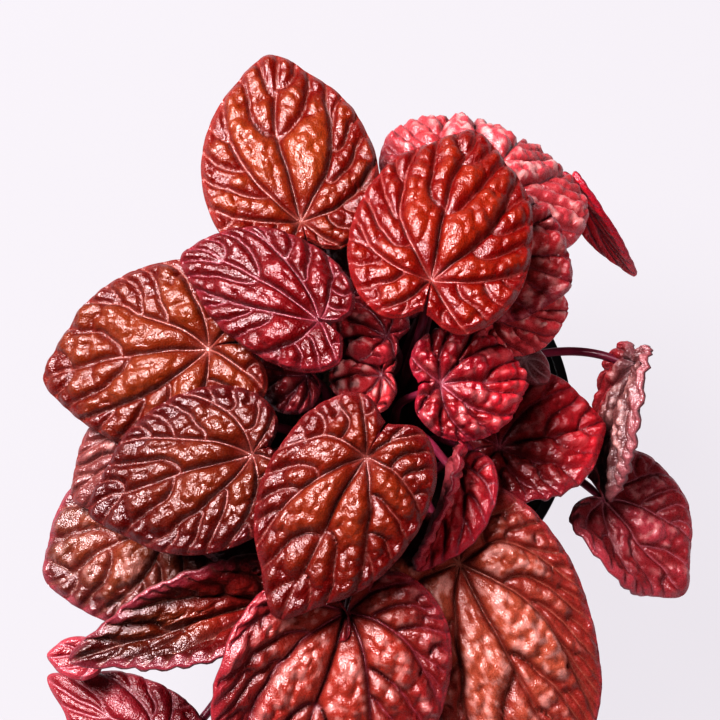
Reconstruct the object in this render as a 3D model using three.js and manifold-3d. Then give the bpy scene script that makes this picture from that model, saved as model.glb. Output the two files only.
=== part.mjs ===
// A potted ripple peperomia: a round nursery pot, its soil, and a rosette of heart-shaped leaves.
// Millimetres, +Z up. The origin is the middle of the pot's underside.
// Each leaf is one solid: a thin blade with sunken veins and swollen ridges, on its own petiole.
import * as THREE from "three";
import { mergeVertices } from "three/addons/utils/BufferGeometryUtils.js";
import Module from "manifold-3d";

const wasm = await Module();
wasm.setup();

const { degToRad, smoothstep } = THREE.MathUtils;

// ---------------------------------------------------------------- driving dimensions

const RIM_RADIUS = 52.5; // a 10.5 cm nursery pot
const POT_HEIGHT = 92;
const BASE_RADIUS = 38;
const POT_WALL = 1.4;
const COLLAR_HEIGHT = 11; // the band under the rim that stands out from the wall
const COLLAR_STEP = 1.6;
const COLLAR_SLOPE = 1; // height of the slope between the wall and the collar
const POT_SIDES = 40;
const DRAIN_HOLES = 8;
const DRAIN_RADIUS = 3.5;
const DRAIN_CIRCLE = 28;
const DRAIN_SIDES = 10;
const FLOOR_THICKNESS = 2;
const FOOT_ROUNDING = 1;
const LIP_WIDTH = 1; // the rolled lip at the top of the collar
const LIP_HEIGHT = 3;
const EDGE_ROUNDING = 0.5; // of the lip and the collar's inner edge

const SOIL_BELOW_RIM = 9;
const SOIL_CROWN = 0.8; // the soil is this much higher in the middle than at the pot's wall
const SOIL_GAP = 0.35; // soil to pot
const HOLE_GAP = 0.5; // petiole to its hole
const ROOT_DEPTH = 13; // how deep a petiole stands in the soil
const NECK_HEIGHT = 1.5; // over the soil, where a petiole starts to bend
const LAST_RUN = 0.05; // share of the blade's reach at which its petiole ends
const HOLE_SIDES = 6;
const CUT_MARGIN = 1; // how far a cutter reaches past the face that it opens

const BLADE_THICKNESS = 0.95;
const PETIOLE_RADIUS = 1.25;
const PETIOLE_SIDES = 5;
const PETIOLE_STEP = 15.5; // length of one straight run of a bent petiole

// A blade's outline, as its reach from the petiole by angle from the tip. Shares of the blade's length.
const SIDE_REACH = 0.55;
const TIP_POINT = 0.16;
const TIP_POINT_ANGLE = 0.32; // radians
const TIP_SHARPNESS = 5; // how quickly the reach grows from the sides to the tip
const OUTLINE_HALF_WIDTH = 0.545; // of the outline these make, before it is stretched to its width
const SINUS_ANGLE = degToRad(168); // where each lobe ends
const LOBE_ROUNDING = 0.3; // how far the lobe's last corner is drawn in
const LOBE_ROUNDING_START = 0.84; // of the way from the tip round to the sinus

// Relief of the upper face, with heights and radii as shares of the blade's length
const VEINS = 7; // main veins, each in the middle of its own sector, with a ridge between two
const COLUMNS = 4 * VEINS;
const VEIN_CURL = 0.34; // radians by which the side veins bend towards the tip
const RIDGE_HEIGHT = 0.072;
const RIDGE_FULLNESS = 0.7; // below 1 the ridges are full and the veins between them narrow
const SWELL_END = 0.4; // share of the reach by which a ridge has its full height
const EDGE_FADE = 0.5; // share of its height that a ridge loses towards the edge
const EDGE_FADE_START = 0.8;
const SPLIT_DEPTH = 0.55; // how much of a ridge the side vein in its middle takes, towards the edge
const SPLIT_START = 0.5;
const SPLIT_END = 0.85;
const FUNNEL_DEPTH = 0.05; // how far the blade sinks at its petiole
const FUNNEL_RADIUS = 0.18;
const FOLD_SOFTNESS = 0.1; // how gently the fold at the midrib turns
const BEND_STEPS = 12;

// Rings of vertices round the petiole, as [share of the reach, columns from one vertex to the next]
const SMALL_BLADE = 20; // shorter than this
const SMALL_RINGS = [[0.5, 2], [1, 1]];
const USUAL_RINGS = [[0.34, 2], [0.72, 1], [1, 1]];
const LARGE_BLADE = 45; // this long or longer
const LARGE_RINGS = [[0.2, 2], [0.45, 1], [0.74, 1], [1, 1]];

// ---------------------------------------------------------------- solids and geometries

function solidOf(geometry) {
  const plain = geometry.index ? geometry.toNonIndexed() : geometry.clone();
  plain.deleteAttribute("normal");
  plain.deleteAttribute("uv");
  const merged = mergeVertices(plain, 1e-4);
  const vertProperties = new Float32Array(merged.attributes.position.array);
  const triVerts = new Uint32Array(merged.index.array);
  return new wasm.Manifold(new wasm.Mesh({ numProp: 3, vertProperties, triVerts }));
}

function geometryOf(solid) {
  const mesh = solid.getMesh();
  const geometry = new THREE.BufferGeometry();
  geometry.setAttribute("position", new THREE.BufferAttribute(mesh.vertProperties, 3));
  geometry.setIndex(new THREE.BufferAttribute(mesh.triVerts, 1));
  geometry.computeVertexNormals();
  return geometry;
}

// A vertical prism with its middle at x, y, between two heights
function uprightPrism(x, y, bottom, top, radius, sides) {
  const geometry = new THREE.CylinderGeometry(radius, radius, top - bottom, sides);
  geometry.rotateX(Math.PI / 2);
  geometry.translate(x, y, (bottom + top) / 2);
  return solidOf(geometry);
}

// A closed profile of [radius, height] points, turned about the Z axis
function turned(profile) {
  const points = profile.map(([radius, height]) => new THREE.Vector2(radius, height));
  const geometry = new THREE.LatheGeometry(points, POT_SIDES);
  geometry.rotateX(Math.PI / 2);
  return solidOf(geometry);
}

// ---------------------------------------------------------------- pot

const SOIL_TOP = POT_HEIGHT - SOIL_BELOW_RIM;
const COLLAR_FOOT = POT_HEIGHT - COLLAR_HEIGHT;
const COLLAR_RADIUS = RIM_RADIUS - LIP_WIDTH; // under the lip
const SHOULDER_RADIUS = COLLAR_RADIUS - COLLAR_STEP; // of the wall, where the collar starts

function makePot() {
  const profile = [
    [0, 0],
    [BASE_RADIUS - FOOT_ROUNDING, 0],
    [BASE_RADIUS, FOOT_ROUNDING],
    [SHOULDER_RADIUS, COLLAR_FOOT],
    [COLLAR_RADIUS, COLLAR_FOOT + COLLAR_SLOPE],
    [COLLAR_RADIUS, POT_HEIGHT - LIP_HEIGHT],
    [RIM_RADIUS, POT_HEIGHT - LIP_HEIGHT + EDGE_ROUNDING],
    [RIM_RADIUS, POT_HEIGHT - EDGE_ROUNDING],
    [RIM_RADIUS - EDGE_ROUNDING, POT_HEIGHT],
    [COLLAR_RADIUS - POT_WALL, POT_HEIGHT],
    [COLLAR_RADIUS - POT_WALL - EDGE_ROUNDING, POT_HEIGHT - EDGE_ROUNDING],
    [COLLAR_RADIUS - POT_WALL - EDGE_ROUNDING, COLLAR_FOOT + COLLAR_SLOPE],
    [SHOULDER_RADIUS - POT_WALL, COLLAR_FOOT - COLLAR_SLOPE],
    [BASE_RADIUS - POT_WALL, FLOOR_THICKNESS],
    [0, FLOOR_THICKNESS],
  ];
  let pot = turned(profile);
  const cutTop = FLOOR_THICKNESS + CUT_MARGIN;
  for (let i = 0; i < DRAIN_HOLES; i++) {
    const turn = (2 * Math.PI * i) / DRAIN_HOLES;
    const x = DRAIN_CIRCLE * Math.cos(turn);
    const y = DRAIN_CIRCLE * Math.sin(turn);
    pot = pot.subtract(uprightPrism(x, y, -CUT_MARGIN, cutTop, DRAIN_RADIUS, DRAIN_SIDES));
  }
  return pot;
}

// ---------------------------------------------------------------- soil

function makeSoil(leaves) {
  const inside = POT_WALL + SOIL_GAP;
  const topRadius = COLLAR_RADIUS - inside - EDGE_ROUNDING;
  const profile = [
    [0, FLOOR_THICKNESS + SOIL_GAP],
    [BASE_RADIUS - inside, FLOOR_THICKNESS + SOIL_GAP],
    [SHOULDER_RADIUS - inside, COLLAR_FOOT - COLLAR_SLOPE],
    [topRadius, COLLAR_FOOT + COLLAR_SLOPE],
    [topRadius, SOIL_TOP - SOIL_CROWN],
    [topRadius / 2, SOIL_TOP],
    [0, SOIL_TOP],
  ];
  let soil = turned(profile);
  const holeRadius = (PETIOLE_RADIUS + HOLE_GAP) / Math.cos(Math.PI / HOLE_SIDES);
  const holeBottom = SOIL_TOP - ROOT_DEPTH - HOLE_GAP;
  const cutTop = SOIL_TOP + CUT_MARGIN;
  for (const leaf of leaves) {
    const { x, y } = leaf.root;
    soil = soil.subtract(uprightPrism(x, y, holeBottom, cutTop, holeRadius, HOLE_SIDES));
  }
  return soil;
}

// ---------------------------------------------------------------- blades

// Reach of the outline, for a blade of length 1, at an angle from the tip
function outlineReach(angle, lobe) {
  const towardsTip = Math.pow((1 + Math.cos(angle)) / 2, TIP_SHARPNESS);
  const towardsSinus = Math.pow((1 - Math.cos(angle)) / 2, 2);
  const point = TIP_POINT * Math.pow(Math.max(0, 1 - Math.abs(angle) / TIP_POINT_ANGLE), 2);
  const tipReach = 1 - TIP_POINT;
  return SIDE_REACH + (tipReach - SIDE_REACH) * towardsTip - (SIDE_REACH - lobe) * towardsSinus + point;
}

// Height of the ridges over the veins; sector counts veins from the midrib, run is 0 at the petiole
// and 1 at the edge. Past the middle a side vein splits each ridge in two.
function ridgeRise(sector, run) {
  const whole = Math.pow(Math.abs(Math.sin(Math.PI * sector)), RIDGE_FULLNESS);
  const halves = Math.pow(Math.abs(Math.sin(2 * Math.PI * sector)), RIDGE_FULLNESS);
  const split = SPLIT_DEPTH * smoothstep(run, SPLIT_START, SPLIT_END);
  const swell = smoothstep(run, 0, SWELL_END) * (1 - EDGE_FADE * smoothstep(run, EDGE_FADE_START, 1));
  return RIDGE_HEIGHT * swell * (whole * (1 - split) + halves * split);
}

// Where a path of a given length ends, when it starts level and slopes by slopeAt(distance)
function bentPath(slopeAt, length) {
  let along = 0;
  let up = 0;
  for (let i = 0; i < BEND_STEPS; i++) {
    const slope = slopeAt(((i + 0.5) / BEND_STEPS) * length);
    along += (Math.cos(slope) * length) / BEND_STEPS;
    up += (Math.sin(slope) * length) / BEND_STEPS;
  }
  return [along, up];
}

// A point of the blade and its smooth normal, in the blade's own frame: X to the tip, Y to its left,
// Z off its upper face, the origin at the petiole.
function bladePoint(leaf, angle, run) {
  const { length, width, lobe, sweep, fold, cup, arch } = leaf;
  const bent = angle - VEIN_CURL * run * Math.sin((Math.PI * angle) / SINUS_ANGLE);
  const round = smoothstep(Math.abs(angle) / SINUS_ANGLE, LOBE_ROUNDING_START, 1);
  const rounding = 1 - LOBE_ROUNDING * round;
  const reach = run * outlineReach(bent, bent > 0 ? lobe[0] : lobe[1]) * rounding * length;
  const swept = bent + sweep * Math.pow(reach / length, 2);
  const forward = reach * Math.cos(swept);
  const aside = (reach * Math.sin(swept) * width) / (2 * OUTLINE_HALF_WIDTH * length);

  const side = aside < 0 ? -1 : 1;
  const curl = side > 0 ? cup[0] : cup[1];
  const sideSlope = (d) => fold * Math.tanh(d / (FOLD_SOFTNESS * length)) + (curl * d) / (width / 2);
  const [across, lift] = bentPath(sideSlope, Math.abs(aside));
  const archSlope = (d) => (-arch * d) / length;
  const [spineX, spineZ] = bentPath(archSlope, forward);

  const tilt = side * sideSlope(Math.abs(aside));
  const pitch = archSlope(forward);
  const up = new THREE.Vector3(-Math.sin(pitch), 0, Math.cos(pitch));
  const normal = up.clone().multiplyScalar(Math.cos(tilt));
  normal.y -= Math.sin(tilt);

  const sector = (angle / SINUS_ANGLE) * (VEINS / 2);
  const funnel = FUNNEL_DEPTH * Math.exp(-Math.pow(run / FUNNEL_RADIUS, 2));
  const relief = length * (ridgeRise(sector, run) - funnel);
  const point = new THREE.Vector3(spineX, side * across, spineZ);
  point.addScaledVector(up, lift).addScaledVector(normal, relief);
  return { point, normal };
}

// The blade as one closed sheet. Both faces share one triangulation, so they never cross.
function makeBlade(leaf) {
  let rings = USUAL_RINGS;
  if (leaf.length >= LARGE_BLADE) rings = LARGE_RINGS;
  if (leaf.length < SMALL_BLADE) rings = SMALL_RINGS;
  const top = [];
  const bottom = [];
  const addVertex = (angle, run) => {
    const { point, normal } = bladePoint(leaf, angle, run);
    top.push(point.clone().addScaledVector(normal, BLADE_THICKNESS / 2));
    bottom.push(point.clone().addScaledVector(normal, -BLADE_THICKNESS / 2));
    return top.length - 1;
  };
  const centre = addVertex(0, 0);
  const rows = rings.map(([run, step]) => {
    const row = [];
    for (let column = 0; column <= COLUMNS; column += step)
      row.push(addVertex(SINUS_ANGLE * ((2 * column) / COLUMNS - 1), run));
    return row;
  });

  const faces = [];
  for (let i = 0; i + 1 < rows[0].length; i++) faces.push([centre, rows[0][i], rows[0][i + 1]]);
  for (let r = 0; r + 1 < rows.length; r++) {
    const inner = rows[r];
    const outer = rows[r + 1];
    if (inner.length === outer.length) {
      for (let i = 0; i + 1 < inner.length; i++) {
        faces.push([inner[i], outer[i], outer[i + 1]]);
        faces.push([inner[i], outer[i + 1], inner[i + 1]]);
      }
    } else {
      for (let i = 0; i + 1 < inner.length; i++) {
        faces.push([inner[i], outer[2 * i], outer[2 * i + 1]]);
        faces.push([inner[i], outer[2 * i + 1], inner[i + 1]]);
        faces.push([inner[i + 1], outer[2 * i + 1], outer[2 * i + 2]]);
      }
    }
  }

  const lastRow = rows[rows.length - 1];
  const edge = [centre, ...rows.slice(0, -1).map((row) => row[0]), ...lastRow];
  for (let r = rows.length - 2; r >= 0; r--) edge.push(rows[r][rows[r].length - 1]);

  const below = top.length;
  const index = [];
  for (const [a, b, c] of faces) {
    index.push(a, b, c);
    index.push(below + a, below + c, below + b);
  }
  edge.forEach((a, i) => {
    const b = edge[(i + 1) % edge.length];
    index.push(a, below + a, below + b);
    index.push(a, below + b, b);
  });
  const geometry = new THREE.BufferGeometry().setFromPoints([...top, ...bottom]);
  geometry.setIndex(index);
  geometry.applyMatrix4(leaf.place);
  return solidOf(geometry);
}

// ---------------------------------------------------------------- petioles

// Straight up out of the soil, then one smooth bend that meets the blade's underside from behind
function makePetiole(leaf) {
  const { root, place } = leaf;
  const toTip = new THREE.Vector3().setFromMatrixColumn(place, 0);
  const toLeft = new THREE.Vector3().setFromMatrixColumn(place, 1);
  const offFace = new THREE.Vector3().setFromMatrixColumn(place, 2);
  const centre = bladePoint(leaf, 0, LAST_RUN).point.applyMatrix4(place);
  const arrival = offFace.clone().multiplyScalar(leaf.lean[0]);
  arrival.addScaledVector(toTip, leaf.lean[1]).addScaledVector(toLeft, leaf.lean[2]).normalize();
  const foot = new THREE.Vector3(root.x, root.y, SOIL_TOP - ROOT_DEPTH);
  const neck = new THREE.Vector3(root.x, root.y, SOIL_TOP + NECK_HEIGHT);
  const reach = neck.distanceTo(centre);
  const riseEnd = neck.clone().add(new THREE.Vector3(0, 0, reach * leaf.rise));
  const bendEnd = centre.clone().addScaledVector(arrival, -reach * leaf.bend);

  const path = new THREE.CurvePath();
  path.add(new THREE.LineCurve3(foot, neck));
  path.add(new THREE.CubicBezierCurve3(neck, riseEnd, bendEnd, centre));
  const section = new THREE.Shape();
  for (let i = 0; i < PETIOLE_SIDES; i++) {
    const turn = (2 * Math.PI * i) / PETIOLE_SIDES;
    const x = PETIOLE_RADIUS * Math.cos(turn);
    const y = PETIOLE_RADIUS * Math.sin(turn);
    if (i === 0) section.moveTo(x, y);
    else section.lineTo(x, y);
  }
  section.closePath();
  const steps = Math.round(path.getLength() / PETIOLE_STEP);
  return solidOf(new THREE.ExtrudeGeometry(section, { steps, extrudePath: path, bevelEnabled: false }));
}

// ---------------------------------------------------------------- the rosette

const RUST = "#97432c";
const EMBER = "#a33a23";
const RUSSET = "#7d2f25";
const SALMON = "#ac5540";
const BROWN = "#6b3a30";
const SCARLET = "#a3202f";
const CRIMSON = "#8c2438";
const ROSE = "#a84457";
const ASH_PINK = "#96686a";
const MAROON = "#5a1a22";

// One row a leaf: its name, then
// [x, y, height over the rim] where the petiole meets the blade,
// [heading, pitch, roll]: heading 0 is +X and 90 is +Y, pitch tips the blade down, roll lifts its left side,
// [length, width, left lobe, right lobe, sweep]: lobes as shares of the length, sweep bends the midrib left,
// [fold, left cup, right cup, arch]: fold and cup raise the two sides, arch bends the tip down,
// [radius, direction] of its root in the soil, and its colour. All angles are in degrees.
const ROSETTE = [
  ["leaf_01", [-20.5, 38, 50], [105, 2, 0], [50, 47, 0.18, 0.18, -4], [4, -14, -14, 10], [10.5, 135], RUST],
  ["leaf_02", [13, 18, 66], [80, 6, 0], [48, 47, 0.28, 0.3, -4], [0, -14, -14, 20], [10.5, 48], EMBER],
  ["leaf_03", [24, 50, 35], [65, 15, 0], [42, 60, 0.3, 0.3, 0], [0, -20, -20, 60], [16, 66], ROSE],
  ["leaf_04", [53, 63.5, 6], [307, 36, 68], [33, 14, 0.1, 0.1, 0], [10, 20, 20, 10], [16, 44], SCARLET],
  ["leaf_05", [-15, 8, 62], [142, 8, 0], [44, 33, 0.26, 0, 15], [0, -34, -8, 14], [13, 150], CRIMSON],
  ["leaf_06", [-43.5, 4.5, 46], [184, 12, 0], [48, 50, 0.36, 0.36, 2], [0, -26, -4, 20], [16, 184], RUST],
  ["leaf_07", [-31, -25, 54], [198, 8, 0], [46, 43, 0.16, 0.16, 0], [0, -8, -8, 18], [10.5, 214], RUSSET],
  ["leaf_08", [-2.5, -28, 65], [239, 12, 0], [47, 42, 0.3, 0.3, 2], [0, -22, -14, 16], [10.5, 250], RUSSET],
  ["leaf_09", [2, 9, 45], [156, 10, 0], [17, 19, 0.3, 0.3, 0], [0, 10, 10, 20], [5, 100], MAROON],
  ["leaf_10", [1, -1, 43], [182, 10, 0], [14, 20, 0.3, 0.3, 0], [0, -20, -20, 20], [5, 190], CRIMSON],
  ["leaf_11", [16, -5, 51], [8, 6, 0], [24, 30, 0.34, 0.34, 0], [0, -20, -20, 30], [5, 350], SCARLET],
  ["leaf_12", [32, -14, 24], [16, 8, 0], [30, 38, 0.34, 0.34, 0], [10, 20, 20, 10], [16, 340], CRIMSON],
  ["leaf_13", [20, -22.7, 40.5], [254, 0, -46], [30, 28, 0.1, 0.1, 0], [60, 0, 0, 6], [10.5, 322], MAROON],
  ["leaf_14", [22, -47, 33], [297, 12, 0], [68, 54, 0.28, 0.3, 0], [0, -14, -22, 18], [16, 300], SALMON],
  ["leaf_15", [-6.5, -62, 41], [254, 14, 0], [60, 62, 0.22, -0.18, 0], [0, -20, 52, 20], [10.5, 230], CRIMSON],
  ["leaf_16", [-28, -57, 28], [198, 2, 0], [54, 36, 0.2, 0.2, 0], [45, 10, 34, 0], [16, 246], BROWN],
  ["leaf_17", [-53, -35, 20], [203, 8, 0], [38, 48, 0.36, 0.36, 0], [0, -14, -14, 16], [16, 211], BROWN],
  ["leaf_18", [-50, -14, 34], [210, 12, 0], [36, 34, 0.3, 0.3, 0], [0, -14, -14, 20], [21, 197], RUSSET],
  ["leaf_19", [-54, -90, 4], [150, 0, 0], [38, 30, 0.3, 0.3, 0], [0, -10, -30, 20], [21, 242], ROSE],
  ["leaf_20", [67, 10, 21], [258, 17, 54], [38, 25, 0.05, 0.05, 0], [0, 40, 0, 10], [16, 8], ASH_PINK],
  ["leaf_21", [61, -22, 1], [314, 14, 0], [35, 39, 0.3, 0, 0], [0, -14, 80, 10], [21, 316], ROSE],
  ["leaf_22", [24, 33, 48], [340, 6, 0], [28, 36, 0.3, 0.3, 0], [0, -14, -14, 12], [10.5, 22], MAROON],
  ["leaf_23", [29, 17, 38], [14, 8, 0], [22, 24, 0.3, 0.3, 0], [0, -10, -10, 20], [16, 27], CRIMSON],
  ["leaf_24", [2, 25, 31], [106, 6, 0], [36, 27, 0.24, 0.24, 0], [0, -14, -14, 12], [10.5, 90], MAROON],
  ["leaf_25", [-18, 0, 38], [185, 8, 0], [15, 20, 0.2, 0.2, 0], [0, -14, -14, 20], [16, 199], MAROON],
  ["leaf_26", [-22, -36, 31], [186, 6, 0], [30, 24, 0.26, 0.26, 0], [0, -14, -14, 16], [16, 230], MAROON],
  ["leaf_27", [38, 7, 33], [320, 10, 0], [9, 9, 0.3, 0.3, 0], [0, 0, 0, 20], [11, 353], ASH_PINK],
  ["leaf_28", [-14, 45, 15], [105, 15, 0], [36, 36, 0.34, 0.34, 0], [0, -14, -14, 20], [16, 112], MAROON],
  ["leaf_29", [10, 45, 10], [70, 15, 0], [38, 38, 0.34, 0.34, 0], [0, -14, -14, 20], [16, 88], MAROON],
  ["leaf_30", [-50, 8, 20], [178, 15, 0], [34, 34, 0.34, 0.34, 0], [0, -14, -14, 20], [16, 166], MAROON],
  ["leaf_31", [32, -50, 8], [298, 15, 0], [36, 36, 0.34, 0.34, 0], [0, -14, -14, 20], [21, 288], RUSSET],
  ["leaf_32", [-5, -62, 6], [262, 15, 0], [38, 34, 0.34, 0.34, 0], [0, -14, -14, 20], [16, 272], MAROON],
  ["leaf_33", [-72, -70, 12], [175, 0, 0], [12, 11, 0.2, 0.2, 0], [0, 20, 20, 0], [21, 222], ROSE],
];

// How a petiole runs: how far it rises and bends, as shares of its reach, and the direction in which it
// meets the blade, as shares of up, forward and left
const USUAL_RUN = { rise: 0.5, bend: 0.3, lean: [0.8, 0.6, 0] };
const OTHER_RUNS = {
  leaf_04: { rise: 0.5, bend: 0.12, lean: [0.5, 0.8, 0] },
  leaf_20: { rise: 0.6, bend: 0.5, lean: [-0.2, 0.3, 0.9] },
  leaf_21: { rise: 0.4, bend: 0.6, lean: [0.1, 1, 0] },
  leaf_27: { rise: 0.9, bend: 0.3, lean: [0.2, 1, 0] },
};

function describeLeaf([name, [x, y, z], [heading, pitch, roll], size, bends, [radius, direction], color]) {
  const [length, width, leftLobe, rightLobe, sweepAngle] = size;
  const sweep = degToRad(sweepAngle);
  const [fold, leftCup, rightCup, arch] = bends.map(degToRad);
  const turn = degToRad(heading);
  const dip = degToRad(pitch);
  const toTip = new THREE.Vector3(
    Math.cos(dip) * Math.cos(turn),
    Math.cos(dip) * Math.sin(turn),
    -Math.sin(dip),
  );
  const toLeft = new THREE.Vector3(-Math.sin(turn), Math.cos(turn), 0);
  const offFace = toTip.clone().cross(toLeft);
  toLeft.applyAxisAngle(toTip, degToRad(roll));
  offFace.applyAxisAngle(toTip, degToRad(roll));
  const place = new THREE.Matrix4().makeBasis(toTip, toLeft, offFace).setPosition(x, y, POT_HEIGHT + z);
  const root = {
    x: radius * Math.cos(degToRad(direction)),
    y: radius * Math.sin(degToRad(direction)),
  };
  const run = { ...USUAL_RUN, ...OTHER_RUNS[name] };
  const lobe = [leftLobe, rightLobe];
  const cup = [leftCup, rightCup];
  return { name, place, length, width, lobe, sweep, fold, cup, arch, root, color, ...run };
}

// ---------------------------------------------------------------- the plant in its pot

const plasticBlack = new THREE.MeshStandardMaterial({ color: "#17171a", roughness: 0.42, metalness: 0 });
const peat = new THREE.MeshStandardMaterial({ color: "#2a1d16", roughness: 0.95, metalness: 0 });

const leaves = ROSETTE.map(describeLeaf);
const plant = new THREE.Group();

function addPart(name, solid, material) {
  const mesh = new THREE.Mesh(geometryOf(solid), material);
  mesh.name = name;
  plant.add(mesh);
}

addPart("pot", makePot(), plasticBlack);
addPart("soil", makeSoil(leaves), peat);
for (const leaf of leaves) {
  const skin = new THREE.MeshStandardMaterial({ color: leaf.color, roughness: 0.35, metalness: 0 });
  addPart(leaf.name, makeBlade(leaf).add(makePetiole(leaf)), skin);
}

export default plant;
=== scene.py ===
import bmesh
import bpy
import numpy as np
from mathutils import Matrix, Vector


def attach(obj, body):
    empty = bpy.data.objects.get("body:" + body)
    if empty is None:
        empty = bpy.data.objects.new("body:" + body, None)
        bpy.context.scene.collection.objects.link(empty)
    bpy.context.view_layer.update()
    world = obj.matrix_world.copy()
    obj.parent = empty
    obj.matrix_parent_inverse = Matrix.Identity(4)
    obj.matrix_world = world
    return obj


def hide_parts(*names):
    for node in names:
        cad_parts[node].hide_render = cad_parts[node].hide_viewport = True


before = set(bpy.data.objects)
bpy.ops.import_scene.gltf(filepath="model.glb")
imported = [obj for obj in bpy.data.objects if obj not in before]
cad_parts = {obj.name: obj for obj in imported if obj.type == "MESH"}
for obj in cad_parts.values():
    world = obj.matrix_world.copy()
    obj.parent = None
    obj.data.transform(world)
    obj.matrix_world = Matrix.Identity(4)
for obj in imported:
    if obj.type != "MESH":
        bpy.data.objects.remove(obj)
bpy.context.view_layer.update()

# ---------------------------------------------------------------- the pot
# A round nursery pot, injection moulded in black polypropylene, with a collar that stands out
# under the rolled lip and a ring of drain holes in its floor. The skin is satin, slightly
# rippled by the mould, and dusty with lime where water has dried on it.

MM = 0.001
POT_HEIGHT = 92
FLOOR_THICKNESS = 2
FLOOR_RADIUS = 36  # where the pierced floor meets the wall's foot
WALL_PROFILE = [  # radius and height, from the underside up the outside and down the inside
    (FLOOR_RADIUS, 0), (38, 0), (38.08, 1.0), (49.9, 81), (51.5, 82), (51.5, 89.2), (52.5, 89.5),
    (52.5, POT_HEIGHT), (49.7, POT_HEIGHT), (49.6, 82), (48.5, 80), (36.7, FLOOR_THICKNESS),
    (FLOOR_RADIUS, FLOOR_THICKNESS),
]
CORNER_RADIUS = 0.45
POT_TURNS = 160
DRAIN_HOLES = 8
DRAIN_RADIUS = 3.5
DRAIN_CIRCLE = 28
FLOOR_HUB = 12  # radius of the plain middle of the floor
DRAIN_TURNS = 2 * np.pi * np.arange(DRAIN_HOLES) / DRAIN_HOLES


def rounded_profile(points, radius, steps=4, most=0.45):
    """The profile with each inner corner replaced by a quadratic arc: from the point `radius`
    before the corner to the point `radius` after it, pulled towards the corner. An arc takes up
    to a share `most` of each side."""
    p = np.array(points, float)
    corner = p[1:-1]
    before = p[:-2] - corner
    after = p[2:] - corner
    cut_a = np.minimum(radius / np.linalg.norm(before, axis=1), most)[:, None] * before
    cut_b = np.minimum(radius / np.linalg.norm(after, axis=1), most)[:, None] * after
    t = np.linspace(0, 1, steps + 1)[None, :, None]
    arc = corner[:, None] + (1 - t) ** 2 * cut_a[:, None] + t**2 * cut_b[:, None]
    return np.vstack([p[:1], arc.reshape(-1, 2), p[-1:]])


def grid_quads(rows, columns, first=0, closed=False):
    """Corner numbers of the quads of a grid of vertices, rows by columns, counted from `first`.
    A closed grid joins its last column to its first."""
    row = np.arange(rows - 1)[:, None]
    column = np.arange(columns if closed else columns - 1)[None, :]
    following = (column + 1) % columns
    corners = [
        row * columns + column,
        (row + 1) * columns + column,
        (row + 1) * columns + following,
        row * columns + following,
    ]
    return first + np.stack(np.broadcast_arrays(*corners), axis=-1).reshape(-1, 4)


def joined(*shapes):
    """Several shapes as one: all their points, and their arrays of corner numbers, each moved on
    past the points that come before."""
    all_points, all_faces, count = [], [], 0
    for points, faces in shapes:
        all_points.append(points)
        all_faces += [array + count for array in faces]
        count += len(points)
    return np.concatenate(all_points), all_faces


def mesh_piece(name, points, faces, material):
    """A smooth object from points in millimetres and a list of arrays of corner numbers."""
    mesh = bpy.data.meshes.new(name)
    polygons = [tuple(face) for array in faces for face in array.tolist()]
    mesh.from_pydata((np.asarray(points) * MM).tolist(), [], polygons)
    mesh.materials.append(material)
    mesh.shade_smooth()
    piece = bpy.data.objects.new(name, mesh)
    bpy.context.scene.collection.objects.link(piece)
    return piece


def merge_seams(piece, distance=2e-6):
    """Joins vertices closer than a distance in metres, and turns all faces outwards."""
    work = bmesh.new()
    work.from_mesh(piece.data)
    bmesh.ops.remove_doubles(work, verts=work.verts, dist=distance)
    bmesh.ops.recalc_face_normals(work, faces=work.faces)
    work.to_mesh(piece.data)
    work.free()


def turned_wall(profile, turns):
    """A profile (r, z) carried round the Z axis: x = r cos(turn), y = r sin(turn)."""
    turn = np.linspace(0, 2 * np.pi, turns, endpoint=False)[None, :]
    radius = profile[:, :1]
    height = np.broadcast_to(profile[:, 1:], (len(profile), turns))
    points = np.stack([radius * np.cos(turn), radius * np.sin(turn), height], axis=-1)
    return points.reshape(-1, 3), [grid_quads(len(profile), turns, closed=True)]


def level_points(place, height):
    """Points at one height from places written as the complex numbers x + iy."""
    return np.stack([place.real, place.imag, np.full(place.shape, height)], -1).reshape(-1, 3)


def drain_rings():
    """Two rings round the first drain hole, point for point: the hole's circle, and the border of
    its wedge of the floor, which is a square in radius and turn."""
    side = np.linspace(-1, 1, POT_TURNS // DRAIN_HOLES, endpoint=False)
    one = np.ones_like(side)
    outward = np.concatenate([one, -side, -one, side])
    sideways = np.concatenate([side, one, -side, -one])
    middle = (FLOOR_HUB + FLOOR_RADIUS) / 2
    radius = middle + outward * (FLOOR_RADIUS - middle)
    border = radius * np.exp(1j * sideways * np.pi / DRAIN_HOLES)
    hole = DRAIN_CIRCLE + DRAIN_RADIUS * np.exp(1j * np.arctan2(sideways, outward))
    return hole, border


def pierced_floor(height, rows=4):
    """One wedge of the floor round each drain hole, and a plain disc in the middle. A point goes
    straight from the hole's circle to the wedge's border as the row goes from 0 to 1."""
    hole, border = drain_rings()
    share = np.linspace(0, 1, rows)[:, None]
    wedge = hole[None] * (1 - share) + border[None] * share
    wedge_quads = grid_quads(rows, len(hole), closed=True)
    hub = FLOOR_HUB * np.exp(1j * np.linspace(0, 2 * np.pi, POT_TURNS, endpoint=False))
    shapes = []
    for turn in DRAIN_TURNS:
        shapes.append((level_points(wedge * np.exp(1j * turn), height), [wedge_quads]))
    shapes.append((level_points(hub, height), [np.arange(POT_TURNS)[None]]))
    return joined(*shapes)


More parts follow.
